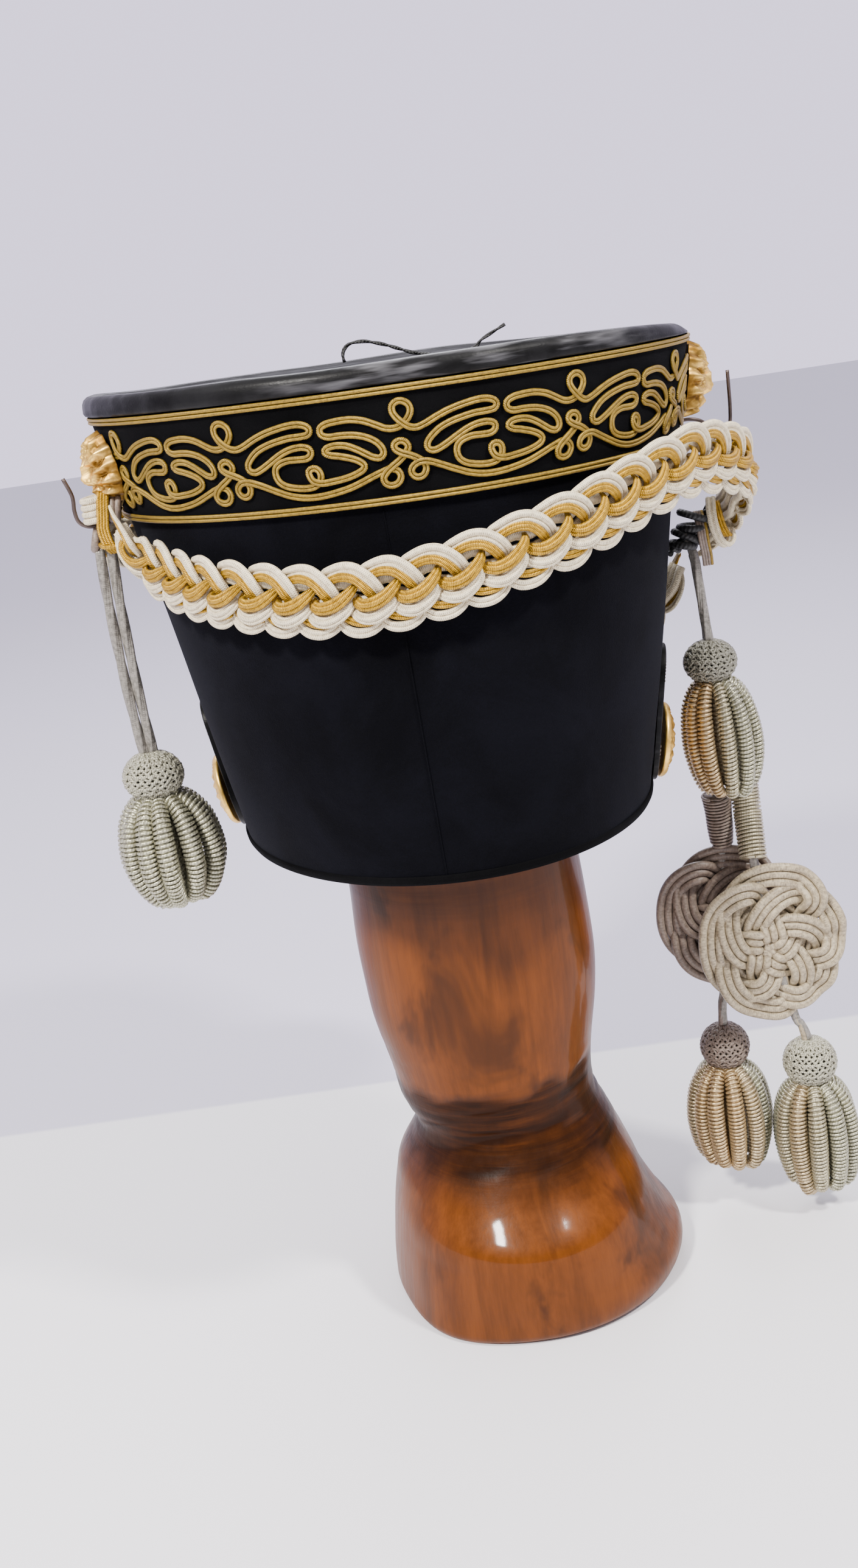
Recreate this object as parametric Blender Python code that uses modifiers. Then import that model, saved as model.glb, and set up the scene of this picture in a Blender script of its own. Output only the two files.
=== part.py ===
"""A bell-topped felt shako with gold braid and plaited cap lines, on a carved wooden stand.

Metres, +Z up. +Y points to the front of the hat, where the peak is, and +X to the wearer's right.
The origin is on the floor, under the axis of the hat. Azimuths are degrees round the hat, counted
from its back (-Y) towards the wearer's right (+X).
"""

import math

import bmesh
import bpy
from mathutils import Matrix, Vector

# ---- driving dimensions -------------------------------------------------------------------------

GAP = 0.0003  # clearance between touching pieces

RIM_Z = 0.2335  # lower edge of the hat above the floor
FLARE_TOP_Z = 0.4147  # height at which the crown sizes below are measured
RIM_HALF_X, RIM_HALF_Y = 0.088, 0.108
CROWN_HALF_X, CROWN_HALF_Y = 0.120, 0.116
FELT_WALL = 0.003
FELT_TOP_Z = 0.4195
HAT_SEGMENTS = 48

BORDER_HEIGHT = 0.003
LOWER_BORDER_Z, UPPER_BORDER_Z = 0.3775, 0.4147  # lower edges of the two gold borders
VELVET = 0.0010
BORDER_RELIEF = 0.0018

CROWN_TOP_Z = 0.4228
CROWN_LEATHER = 0.0026
CROWN_TURN_DOWN_Z = 0.4182
CROWN_EDGE_OUT = 0.0032

PEAK_HALF_ANGLE = 62.0
PEAK_DEPTH = 0.052
PEAK_END_DEPTH = 0.004
PEAK_ABOVE_RIM = 0.0030
PEAK_SLOPE, PEAK_CURL = 0.32, 1.6
PEAK_LEATHER = 0.0026

BOSS_WIDTH, BOSS_PROUD, BOSS_LOCKS = 0.024, 0.0125, 12
BOSS_SEGMENTS, BOSS_RINGS = 24, 11
ROSETTE_RADIUS, ROSETTE_PROUD = 0.0162, 0.0065
TAB_RADIUS, TAB_TOP_RADIUS, TAB_RISE, TAB_THICK = 0.0172, 0.0125, 0.0300, 0.0028
TURNED_SEGMENTS = 20
HOOK_RADIUS = 0.0008
WRAP_RADIUS, WRAP_CORD_RADIUS, WRAP_WIDENING = 0.0054, 0.0032, 1.7

PLAIT_HALF_HEIGHT, PLAIT_HALF_THICK = 0.0135, 0.0055
PLAIT_PITCH = 0.0185
PLAIT_SIDES = 8
PLAIT_OUT = 0.0085  # the plait's middle from the felt
PLAIT_END_TAPER = 0.030  # length over which each end narrows
CORD_RADIUS = 0.0015
LACE_RADIUS = 0.0026
TIE_RADIUS = 0.0009

# ---- tables: one row for each piece of a kind ---------------------------------------------------

# side, azimuth, height of the middle, height of the mask
BOSSES = (
    ("left", -75.5, 0.3995, 0.027),
    ("right", 84.5, 0.3990, 0.030),
)

# side, azimuth, height of the middle
ROSETTES = (
    ("left", -101.0, 0.2500),
    ("right", 79.0, 0.2500),
)

# name, top, bottom, (ball radius, ball length, widest skirt radius, locks)
TASSELS = (
    ("tassel_left", (-0.1222, -0.033, 0.2853), (-0.1192, -0.033, 0.2210),
     (0.0124, 0.0205, 0.0230, 9)),
    ("tassel_right", (0.1214, -0.012, 0.2873), (0.1252, -0.012, 0.2172),
     (0.0116, 0.0195, 0.0178, 8)),
    ("tassel_flounder_front", (0.1538, -0.010, 0.0883), (0.1548, -0.010, 0.0120),
     (0.0126, 0.0240, 0.0205, 8)),
    ("tassel_flounder_back", (0.1191, 0.010, 0.0941), (0.1187, 0.010, 0.0215),
     (0.0118, 0.0230, 0.0210, 8)),
)

# name, middle, half width, half height, azimuth it faces
FLOUNDERS = (
    ("flounder_front", (0.1408, -0.010, 0.1410), 0.0340, 0.0368, -4.0),
    ("flounder_back", (0.1262, 0.011, 0.1490), 0.0310, 0.0335, -12.0),
)
FLOUNDER_THICK = 0.0095
FLOUNDER_SCALLOPS = 9

# name, radii at the two ends, points from the top down
SHANKS = (
    ("shank_front", 0.0062, 0.0058,
     ((0.1404, 0.008, 0.2145), (0.1392, 0.004, 0.2010), (0.1360, -0.006, 0.1815))),
    ("shank_back", 0.0066, 0.0046,
     ((0.1255, 0.009, 0.2100), (0.1262, 0.010, 0.1985), (0.1268, 0.011, 0.1852))),
)

# name, points from the top down
CORDS = (
    ("cord_left_outer",
     ((-0.1262, -0.031, 0.3683), (-0.1266, -0.032, 0.3450), (-0.1258, -0.033, 0.3100),
      (-0.1241, -0.033, 0.2861))),
    ("cord_left_inner",
     ((-0.1208, -0.031, 0.3683), (-0.1212, -0.033, 0.3450), (-0.1211, -0.033, 0.3100),
      (-0.1205, -0.033, 0.2861))),
    ("cord_right",
     ((0.1188, -0.0090, 0.3250), (0.1192, -0.0118, 0.3160), (0.1203, -0.012, 0.3020),
      (0.1214, -0.012, 0.2879))),
    ("cord_flounder_front",
     ((0.1312, 0.012, 0.3140), (0.1296, 0.011, 0.2950), (0.1292, 0.010, 0.2700),
      (0.1335, 0.010, 0.2450), (0.1392, 0.009, 0.2260), (0.1404, 0.008, 0.2151))),
    ("cord_flounder_back",
     ((0.1268, 0.012, 0.3140), (0.1252, 0.011, 0.2950), (0.1246, 0.010, 0.2600),
      (0.1250, 0.010, 0.2300), (0.1255, 0.009, 0.2106))),
    ("stem_front", ((0.1480, -0.010, 0.1024), (0.1510, -0.010, 0.0965), (0.1534, -0.010, 0.0889))),
    ("stem_back", ((0.1215, 0.011, 0.1136), (0.1197, 0.010, 0.1045), (0.1191, 0.010, 0.0947))),
)

HOOK_LEFT = (
    (-0.1150, -0.0295, 0.3835),
    (-0.1172, -0.0300, 0.3800),
    (-0.1205, -0.0300, 0.3780),
    (-0.1245, -0.0300, 0.3775),
    (-0.1292, -0.0300, 0.3780),
    (-0.1320, -0.0300, 0.3802),
    (-0.1328, -0.0300, 0.3844),
    (-0.1326, -0.0300, 0.3902),
    (-0.1348, -0.0300, 0.3972),
)
HOOK_RIGHT = (
    (0.1160, -0.0109, 0.3818),
    (0.1215, -0.0106, 0.3820),
    (0.1265, -0.0100, 0.3808),
    (0.1305, -0.0092, 0.3779),
    (0.1355, -0.0078, 0.3742),
    (0.1402, -0.0064, 0.3760),
    (0.1416, -0.0060, 0.3830),
    (0.1417, -0.0060, 0.3993),
)
WRAP_LEFT_AT = (-0.1236, -0.0300, 0.3775)
LACING = (
    (0.1318, -0.0040, 0.3440),
    (0.1278, -0.0040, 0.3405),
    (0.1226, -0.0045, 0.3340),
    (0.1160, -0.0050, 0.3298),
    (0.1088, -0.0090, 0.3284),
)
CROWN_TIE = (
    (-0.0135, 0.030, 0.4240),
    (-0.0146, 0.030, 0.4286),
    (-0.0090, 0.030, 0.4311),
    (0.0000, 0.030, 0.4303),
    (0.0065, 0.030, 0.4270),
    (0.0130, 0.030, 0.4242),
    (0.0260, 0.030, 0.4241),
    (0.0370, 0.030, 0.4243),
    (0.0470, 0.030, 0.4266),
    (0.0570, 0.030, 0.4296),
)

# azimuth, height, distance of the plait's middle from the felt: the stretch that lies on the hat
BACK_PLAIT_ON_HAT = (
    (-66.0, 0.3600, 0.0095),
    (-55.0, 0.3560, PLAIT_OUT),
    (-40.0, 0.3520, PLAIT_OUT),
    (-25.0, 0.3485, PLAIT_OUT),
    (-10.0, 0.3485, PLAIT_OUT),
    (5.0, 0.3510, PLAIT_OUT),
    (20.0, 0.3560, PLAIT_OUT),
    (35.0, 0.3600, PLAIT_OUT),
    (48.0, 0.3620, 0.0092),
)
BACK_PLAIT_LEFT_END = ((-0.1200, -0.0440, 0.3760), (-0.1150, -0.0475, 0.3650))
BACK_PLAIT_RIGHT_END = (
    (0.1150, -0.0420, 0.3635),
    (0.1345, -0.0230, 0.3615),
    (0.1455, -0.0100, 0.3530),
    (0.1455, 0.0000, 0.3400),
    (0.1392, 0.0080, 0.3270),
    (0.1295, 0.0120, 0.3172),
)
FRONT_PLAIT_ON_HAT = (
    (106.0, 0.2920, PLAIT_OUT),
    (120.0, 0.2830, PLAIT_OUT),
    (138.0, 0.2770, PLAIT_OUT),
    (158.0, 0.2760, PLAIT_OUT),
    (178.0, 0.2800, PLAIT_OUT),
    (198.0, 0.2930, PLAIT_OUT),
    (216.0, 0.3140, PLAIT_OUT),
    (232.0, 0.3420, PLAIT_OUT),
    (246.0, 0.3620, PLAIT_OUT),
)
FRONT_PLAIT_RIGHT_END = ((0.1255, 0.0230, 0.3180), (0.1165, 0.0240, 0.3050))
FRONT_PLAIT_LEFT_END = ((-0.1255, 0.0150, 0.3690), (-0.1260, -0.0150, 0.3690))

# the carved stand, from the floor up: height, half width, half depth, offset of the middle in X
STAND_SECTIONS = (
    (0.0000, 0.0600, 0.0640, 0.0108),
    (0.0030, 0.0632, 0.0672, 0.0115),
    (0.0120, 0.0645, 0.0680, 0.0126),
    (0.0230, 0.0620, 0.0655, 0.0118),
    (0.0400, 0.0578, 0.0610, 0.0098),
    (0.0620, 0.0512, 0.0550, 0.0082),
    (0.0760, 0.0450, 0.0480, 0.0088),
    (0.0850, 0.0418, 0.0455, 0.0088),
    (0.0960, 0.0408, 0.0450, 0.0070),
    (0.1130, 0.0450, 0.0472, 0.0059),
    (0.1380, 0.0498, 0.0508, 0.0057),
    (0.1560, 0.0514, 0.0522, 0.0058),
    (0.1750, 0.0518, 0.0525, 0.0050),
    (0.2000, 0.0516, 0.0525, 0.0034),
    (0.2330, 0.0508, 0.0518, 0.0010),
    (0.2450, 0.0470, 0.0475, 0.0004),
    (0.2550, 0.0360, 0.0360, 0.0),
    (0.2620, 0.0300, 0.0300, 0.0),
    (0.3850, 0.0300, 0.0300, 0.0),
    (0.3970, 0.0440, 0.0440, 0.0),
    (0.4050, 0.0560, 0.0560, 0.0),
    (0.4130, 0.0560, 0.0560, 0.0),
    (0.4180, 0.0490, 0.0490, 0.0),
    (0.4195, 0.0400, 0.0400, 0.0),
)
STAND_SEGMENTS = 20

# name: colour, roughness, metallic
FINISHES = {
    "black_felt": ((0.012, 0.012, 0.016), 0.95, 0.0),
    "black_velvet": ((0.006, 0.006, 0.007), 1.0, 0.0),
    "black_leather": ((0.03, 0.03, 0.035), 0.45, 0.0),
    "gold_braid": ((0.58, 0.38, 0.12), 0.45, 0.3),
    "gilt_metal": ((0.80, 0.55, 0.20), 0.35, 1.0),
    "dark_wire": ((0.10, 0.09, 0.08), 0.5, 0.8),
    "white_gold_cord": ((0.85, 0.75, 0.50), 0.6, 0.0),
    "silver_grey_cord": ((0.45, 0.44, 0.37), 0.65, 0.0),
    "silver_bullion": ((0.70, 0.67, 0.56), 0.4, 0.4),
    "cream_cord": ((0.66, 0.60, 0.46), 0.65, 0.0),
    "black_cord": ((0.01, 0.01, 0.01), 0.7, 0.0),
    "varnished_wood": ((0.42, 0.17, 0.05), 0.3, 0.0),
}

PARTS_COLLECTION = "shako"


# ---- the hat's surface --------------------------------------------------------------------------


def hat_half_widths(z):
    """Half width and half depth of the felt's outer face at a height."""
    rise = (z - RIM_Z) / (FLARE_TOP_Z - RIM_Z)
    half_x = RIM_HALF_X + rise * (CROWN_HALF_X - RIM_HALF_X)
    half_y = RIM_HALF_Y + rise * (CROWN_HALF_Y - RIM_HALF_Y)
    return half_x, half_y


def hat_point(azimuth, z, out=0.0):
    """A point that is a distance out from the felt's outer face."""
    half_x, half_y = hat_half_widths(z)
    turn = math.radians(azimuth)
    return Vector(((half_x + out) * math.sin(turn), -(half_y + out) * math.cos(turn), z))


def hat_frame(azimuth, z, out):
    """Local axes on the felt: X along the wall, Y up the wall, Z straight out of it."""
    middle = hat_point(azimuth, z, out)
    along = (hat_point(azimuth + 1, z) - hat_point(azimuth - 1, z)).normalized()
    up = (hat_point(azimuth, z + 0.001) - hat_point(azimuth, z - 0.001)).normalized()
    normal = along.cross(up).normalized()
    up = normal.cross(along)
    axes = Matrix((along, up, normal)).transposed().to_4x4()
    return Matrix.Translation(middle) @ axes


# ---- making objects -----------------------------------------------------------------------------


def clear_scene():
    for obj in list(bpy.data.objects):
        bpy.data.objects.remove(obj, do_unlink=True)


def make_materials():
    for name, (colour, roughness, metallic) in FINISHES.items():
        material = bpy.data.materials.new(name)
        material.use_nodes = True
        shader = material.node_tree.nodes["Principled BSDF"]
        shader.inputs["Base Color"].default_value = (*colour, 1.0)
        shader.inputs["Roughness"].default_value = roughness
        shader.inputs["Metallic"].default_value = metallic
        material.diffuse_color = (*colour, 1.0)


def add_object(name, data, finish):
    obj = bpy.data.objects.new(name, data)
    bpy.data.collections[PARTS_COLLECTION].objects.link(obj)
    data.materials.append(bpy.data.materials[finish])
    return obj


def add_mesh(name, bm, finish, sharp_angle=40.0):
    """Closes a bmesh into a named object whose faces point outwards."""
    bmesh.ops.recalc_face_normals(bm, faces=bm.faces)
    mesh = bpy.data.meshes.new(name)
    bm.to_mesh(mesh)
    bm.free()
    mesh.shade_smooth()
    mesh.set_sharp_from_angle(angle=math.radians(sharp_angle))
    return add_object(name, mesh, finish)


def loft(name, rings, finish, closed=False):
    """Joins rings of equally many points; the ends get caps, or meet when closed."""
    bm = bmesh.new()
    loops = [[bm.verts.new(point) for point in ring] for ring in rings]
    count = len(loops[0])
    pairs = list(zip(loops, loops[1:]))
    if closed:
        pairs.append((loops[-1], loops[0]))
    else:
        bm.faces.new(loops[0])
        bm.faces.new(loops[-1])
    for lower, upper in pairs:
        for i in range(count):
            j = (i + 1) % count
            bm.faces.new((lower[i], lower[j], upper[j], upper[i]))
    return add_mesh(name, bm, finish)


def oval_ring(name, profile, finish):
    """Carries a closed profile of (distance from the felt, height) round the hat."""
    turns = [360.0 * i / HAT_SEGMENTS for i in range(HAT_SEGMENTS)]
    rings = [[hat_point(turn, z, out) for out, z in profile] for turn in turns]
    return loft(name, rings, finish, closed=True)


def oval(half_x, half_y, z, middle_x=0.0, segments=HAT_SEGMENTS):
    turns = [2 * math.pi * i / segments for i in range(segments)]
    return [Vector((middle_x + half_x * math.sin(t), -half_y * math.cos(t), z)) for t in turns]


def smooth_path(points, spacing):
    """Points a set distance apart on a smooth curve through the given ones."""
    knots = [Vector(p) for p in points]
    knots = [2 * knots[0] - knots[1], *knots, 2 * knots[-1] - knots[-2]]
    path = [knots[1]]
    for a, b, c, d in zip(knots, knots[1:], knots[2:], knots[3:]):
        steps = max(1, round((c - b).length / spacing))
        for i in range(1, steps + 1):
            t = i / steps
            path.append(
                0.5 * (2 * b + (c - a) * t + (2 * a - 5 * b + 4 * c - d) * t**2
                       + (3 * b - a - 3 * c + d) * t**3)
            )
    return path


def tube(name, points, radius, finish, spacing, end_radius=None):
    """A cord or wire: a poly curve with a round bevel and filled ends."""
    path = smooth_path(points, spacing)
    curve = bpy.data.curves.new(name, "CURVE")
    curve.dimensions = "3D"
    curve.bevel_depth = radius
    curve.bevel_resolution = 2
    curve.use_fill_caps = True
    spline = curve.splines.new("POLY")
    spline.points.add(len(path) - 1)
    last = len(path) - 1
    for i, (point, place) in enumerate(zip(spline.points, path)):
        point.co = (*place, 1.0)
        if end_radius:
            point.radius = 1 + (end_radius / radius - 1) * i / last
    return add_object(name, curve, finish)


# ---- the hat ------------------------------------------------------------------------------------


def felt_body():
    lip = FELT_WALL * 0.3
    profile = (
        (-lip, RIM_Z),
        (0.0, RIM_Z + 2 * lip),
        (0.0, FELT_TOP_Z),
        (-FELT_WALL, FELT_TOP_Z),
        (-FELT_WALL, RIM_Z + 2 * lip),
        (-FELT_WALL + lip, RIM_Z),
    )
    oval_ring("felt_body", profile, "black_felt")


def velvet_band():
    inner, outer = GAP, GAP + VELVET
    top = UPPER_BORDER_Z + BORDER_HEIGHT
    profile = ((inner, LOWER_BORDER_Z), (outer, LOWER_BORDER_Z), (outer, top), (inner, top))
    oval_ring("velvet_band", profile, "black_velvet")


def gold_border(name, low):
    """A double-ridged braid: two round ridges with a groove between them."""
    inner = 2 * GAP + VELVET
    ridge = inner + BORDER_RELIEF
    groove = inner + 0.65 * BORDER_RELIEF
    profile = (
        (inner, low),
        (ridge, low + 0.22 * BORDER_HEIGHT),
        (groove, low + 0.5 * BORDER_HEIGHT),
        (ridge, low + 0.78 * BORDER_HEIGHT),
        (inner, low + BORDER_HEIGHT),
    )
    oval_ring(name, profile, "gold_braid")


def leather_crown():
    """The flat top of the hat, turned down over the edge of the felt."""
    under = CROWN_TOP_Z - CROWN_LEATHER
    inner = 2 * GAP
    # distance from the felt, height
    edge = (
        (-0.0020, CROWN_TOP_Z),
        (CROWN_EDGE_OUT - 0.0026, CROWN_TOP_Z - 0.0004),
        (CROWN_EDGE_OUT - 0.0008, CROWN_TOP_Z - 0.0016),
        (CROWN_EDGE_OUT, CROWN_TURN_DOWN_Z),
        (inner, CROWN_TURN_DOWN_Z),
        (inner, under),
    )
    half_x, half_y = hat_half_widths(FELT_TOP_Z)
    rings = [oval(half_x + out, half_y + out, z) for out, z in edge]
    loft("leather_crown", rings, "black_leather")


def peak():
    """A plain crescent of leather that slopes down from the rim at the front."""
    columns, rows = 20, 3
    clear_of_felt = GAP + PEAK_SLOPE * PEAK_LEATHER + 0.0004
    bm = bmesh.new()
    grid = []
    for i in range(columns + 1):
        across = 2 * i / columns - 1
        azimuth = 180 + PEAK_HALF_ANGLE * across
        inner = hat_point(azimuth, RIM_Z + PEAK_ABOVE_RIM, clear_of_felt)
        outward = Vector((math.sin(math.radians(azimuth)), -math.cos(math.radians(azimuth)), 0))
        depth = PEAK_END_DEPTH + PEAK_DEPTH * (1 - across**2) ** 0.8
        column = []
        for j in range(rows + 1):
            reach = depth * j / rows
            droop = PEAK_SLOPE * reach + PEAK_CURL * reach**2
            column.append(bm.verts.new(inner + outward * reach - Vector((0, 0, droop))))
        grid.append(column)
    for left, right in zip(grid, grid[1:]):
        for j in range(rows):
            bm.faces.new((left[j], right[j], right[j + 1], left[j + 1]))
    bmesh.ops.recalc_face_normals(bm, faces=bm.faces)
    if sum(face.normal.z for face in bm.faces) < 0:
        bmesh.ops.reverse_faces(bm, faces=bm.faces)
    mesh = bpy.data.meshes.new("peak")
    bm.to_mesh(mesh)
    bm.free()
    obj = add_object("peak", mesh, "black_leather")
    thickness = obj.modifiers.new("leather", "SOLIDIFY")
    thickness.thickness = PEAK_LEATHER
    thickness.offset = -1.0


# ---- metal fittings -----------------------------------------------------------------------------


def mask_relief(x, y):
    """Height of the lion mask from 0 to 1 over a unit disc: mane, brows, muzzle and eyes."""
    r = min(1.0, math.hypot(x, y))
    turn = math.atan2(y, x)
    dome = math.sqrt(max(0.0, 1 - r * r)) ** 0.8
    mane = 0.10 * math.cos(BOSS_LOCKS * turn) * math.exp(-((r - 0.82) / 0.16) ** 2)
    muzzle = 0.30 * math.exp(-(x * x + (y + 0.28) ** 2) / 0.06)
    brows = 0.12 * math.exp(-((abs(x) - 0.26) ** 2 + (y - 0.26) ** 2) / 0.02)
    eyes = 0.16 * math.exp(-((abs(x) - 0.28) ** 2 + (y - 0.06) ** 2) / 0.014)
    return 0.70 * dome + mane + muzzle + brows - eyes


def boss(side, azimuth, z, height):
    """A lion mask with a flat back; the front half of a sphere is pushed into relief."""
    bm = bmesh.new()
    bmesh.ops.create_uvsphere(bm, u_segments=BOSS_SEGMENTS, v_segments=BOSS_RINGS, radius=1.0)
    for vert in bm.verts:
        x, y, front = vert.co
        turn = math.atan2(y, x)
        locks = 1 + 0.05 * math.cos(BOSS_LOCKS * turn) * math.hypot(x, y)
        vert.co.x = x * locks * BOSS_WIDTH / 2
        vert.co.y = y * locks * height / 2
        vert.co.z = BOSS_PROUD * max(0.0, mask_relief(x, y)) if front > 1e-6 else 0.0
    obj = add_mesh(f"lion_boss_{side}", bm, "gilt_metal")
    obj.matrix_world = hat_frame(azimuth, z, 2 * GAP + VELVET + BORDER_RELIEF)


def strap_tab(side, azimuth, z):
    """The leather tab that the rosette is fixed on: wide and round below, narrower above."""
    outline = []
    for k in range(24):
        turn = 2 * math.pi * (k + 0.5) / 24
        radius, rise = (TAB_TOP_RADIUS, TAB_RISE) if k < 12 else (TAB_RADIUS, 0.0)
        outline.append((radius * math.cos(turn), rise + radius * math.sin(turn)))
    rings = [[Vector((x, y, out)) for x, y in outline] for out in (0.0, TAB_THICK)]
    obj = loft(f"strap_tab_{side}", rings, "black_leather")
    obj.matrix_world = hat_frame(azimuth, z, 2 * GAP)


def rosette(side, azimuth, z):
    """A turned gilt button with a raised middle, a groove and a rolled edge."""
    radius, proud = ROSETTE_RADIUS, ROSETTE_PROUD
    # from the middle of the face out to the rim and back to the axis
    profile = (
        (0.0, proud),
        (0.22 * radius, 0.92 * proud),
        (0.42 * radius, 0.66 * proud),
        (0.55 * radius, 0.60 * proud),
        (0.80 * radius, 0.50 * proud),
        (radius, 0.22 * proud),
        (radius, 0.0),
        (0.0, 0.0),
    )
    mesh = bpy.data.meshes.new(f"rosette_{side}")
    edges = [(i, i + 1) for i in range(len(profile) - 1)]
    mesh.from_pydata([(r, 0, h) for r, h in profile], edges, [])
    obj = add_object(mesh.name, mesh, "gilt_metal")
    turning = obj.modifiers.new("turned", "SCREW")
    turning.steps = turning.render_steps = TURNED_SEGMENTS
    turning.use_merge_vertices = True
    turning.merge_threshold = 0.00001
    obj.matrix_world = hat_frame(azimuth, z, 3 * GAP + TAB_THICK)


def wrapped_cord_left():
    """The turns of cord that are wound round the left hook, as one thick ring."""
    bpy.ops.mesh.primitive_torus_add(
        major_segments=12, minor_segments=8, major_radius=WRAP_RADIUS, minor_radius=WRAP_CORD_RADIUS
    )
    obj = bpy.context.object
    obj.name = obj.data.name = "wrap_left"
    for vert in obj.data.vertices:
        vert.co.z *= WRAP_WIDENING
    for collection in list(obj.users_collection):
        collection.objects.unlink(obj)
    bpy.data.collections[PARTS_COLLECTION].objects.link(obj)
    obj.data.materials.append(bpy.data.materials["white_gold_cord"])
    obj.data.shade_smooth()
    obj.rotation_euler = (0, math.radians(90), 0)
    obj.location = WRAP_LEFT_AT


# ---- plaits, cords and tassels ------------------------------------------------------------------


def plait(name, route):
    """A plait of doubled cords as one flat solid with a scallop for each stitch."""
    path = smooth_path(route, PLAIT_PITCH / 2)
    length = [0.0]
    for a, b in zip(path, path[1:]):
        length.append(length[-1] + (b - a).length)
    rings = []
    for i, middle in enumerate(path):
        ahead, behind = path[min(i + 1, len(path) - 1)], path[max(i - 1, 0)]
        tangent = (ahead - behind).normalized()
        outward = Vector((middle.x, middle.y, 0)).normalized()
        outward = (outward - tangent * outward.dot(tangent)).normalized()
        upward = tangent.cross(outward)
        from_end = min(1.0, min(length[i], length[-1] - length[i]) / PLAIT_END_TAPER)
        scallop = 0.91 if i % 2 else 1.0
        high = PLAIT_HALF_HEIGHT * scallop * (0.38 + 0.62 * from_end)
        thick = PLAIT_HALF_THICK * (0.75 + 0.25 * from_end)
        ring = []
        for k in range(PLAIT_SIDES):
            turn = 2 * math.pi * (k + 0.5) / PLAIT_SIDES
            bulge = thick * math.sin(turn) * (1.1 - 0.1 * abs(math.cos(turn)))
            ring.append(middle + upward * high * math.cos(turn) + outward * bulge)
        rings.append(ring)
    loft(name, rings, "white_gold_cord")


def tassel(name, top, bottom, sizes):
    """A netted ball over a skirt of bullion, whose locks are fused into one lobed form."""
    top, bottom = Vector(top), Vector(bottom)
    ball_radius, ball_length, skirt_radius, locks = sizes
    length = (bottom - top).length
    neck = ball_length / length
    # way down from 0 to 1, radius, depth of the lobes
    rows = [(0.0, 0.30 * ball_radius, 0.0)]
    rows += [
        (neck * (1 - math.cos(a)) / 2, ball_radius * math.sin(a), 0.0)
        for a in (math.radians(d) for d in (50, 90, 130))
    ]
    skirt_rows = ((0.02, 0.42, 0.03), (0.16, 0.72, 0.06), (0.42, 0.95, 0.07), (0.62, 1.0, 0.07),
                  (0.82, 0.90, 0.09), (0.95, 0.72, 0.12), (1.0, 0.52, 0.12))
    rows += [(neck + (1 - neck) * d, skirt_radius * r, lobe) for d, r, lobe in skirt_rows]
    segments = locks * 3
    rings = []
    for down, radius, lobe in rows:
        ring = []
        for k in range(segments):
            turn = 2 * math.pi * k / segments
            reach = radius * (1 + lobe * math.cos(locks * turn))
            ring.append(top.lerp(bottom, down) + Vector((math.cos(turn), math.sin(turn), 0)) * reach)
        rings.append(ring)
    loft(name, rings, "silver_bullion")


def flounder(name, middle, half_width, half_height, azimuth):
    """A flat knot of woven cord: a lens with a scalloped edge, facing along an azimuth."""
    bm = bmesh.new()
    bmesh.ops.create_uvsphere(bm, u_segments=3 * FLOUNDER_SCALLOPS, v_segments=8, radius=1.0)
    for vert in bm.verts:
        x, y, front = vert.co
        scallop = 1 + 0.03 * math.hypot(x, y) * math.cos(FLOUNDER_SCALLOPS * math.atan2(y, x))
        vert.co.x = x * scallop * half_width
        vert.co.y = y * scallop * half_height
        vert.co.z = math.copysign(abs(front) ** 0.6, front) * FLOUNDER_THICK / 2
    obj = add_mesh(name, bm, "cream_cord", sharp_angle=60)
    facing = Matrix.Rotation(math.radians(azimuth), 4, "Z") @ Matrix.Rotation(math.radians(90), 4, "X")
    obj.matrix_world = Matrix.Translation(middle) @ facing


# ---- the stand ----------------------------------------------------------------------------------


def stand():
    rings = [oval(w, d, z, x, STAND_SEGMENTS) for z, w, d, x in STAND_SECTIONS]
    loft("wooden_stand", rings, "varnished_wood")


# ---- assembly -----------------------------------------------------------------------------------


def build():
    clear_scene()
    bpy.context.scene.collection.children.link(bpy.data.collections.new(PARTS_COLLECTION))
    make_materials()

    felt_body()
    velvet_band()
    gold_border("border_lower", LOWER_BORDER_Z)
    gold_border("border_upper", UPPER_BORDER_Z)
    leather_crown()
    peak()

    for row in BOSSES:
        boss(*row)
    for row in ROSETTES:
        strap_tab(*row)
        rosette(*row)
    tube("hook_left", HOOK_LEFT, HOOK_RADIUS, "dark_wire", spacing=0.005)
    tube("hook_right", HOOK_RIGHT, HOOK_RADIUS, "dark_wire", spacing=0.005)

    back = [hat_point(*row) for row in BACK_PLAIT_ON_HAT]
    front = [hat_point(*row) for row in FRONT_PLAIT_ON_HAT]
    plait("festoon_back", [*BACK_PLAIT_LEFT_END, *back, *BACK_PLAIT_RIGHT_END])
    plait("festoon_front", [*FRONT_PLAIT_RIGHT_END, *front, *FRONT_PLAIT_LEFT_END])
    wrapped_cord_left()
    tube("lacing", LACING, LACE_RADIUS, "black_cord", spacing=0.006)
    tube("crown_tie", CROWN_TIE, TIE_RADIUS, "black_cord", spacing=0.006)

    for row in TASSELS:
        tassel(*row)
    for row in FLOUNDERS:
        flounder(*row)
    for name, radius, end_radius, points in SHANKS:
        tube(name, points, radius, "silver_bullion", spacing=0.010, end_radius=end_radius)
    for name, points in CORDS:
        tube(name, points, CORD_RADIUS, "silver_grey_cord", spacing=0.0075)

    stand()


build()
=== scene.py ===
"""A felt shako with gold scrollwork and plaited cap lines, hung with tassels and woven flounders,
on its carved wooden stand. Metres, in the frame's axes: +Z up, +Y to the front of the hat, +X to
the wearer's right. Azimuths are degrees round the hat from its back towards the wearer's right.
"""

import math
import random

import bmesh
import bpy
from mathutils import Matrix, Vector, noise


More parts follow.
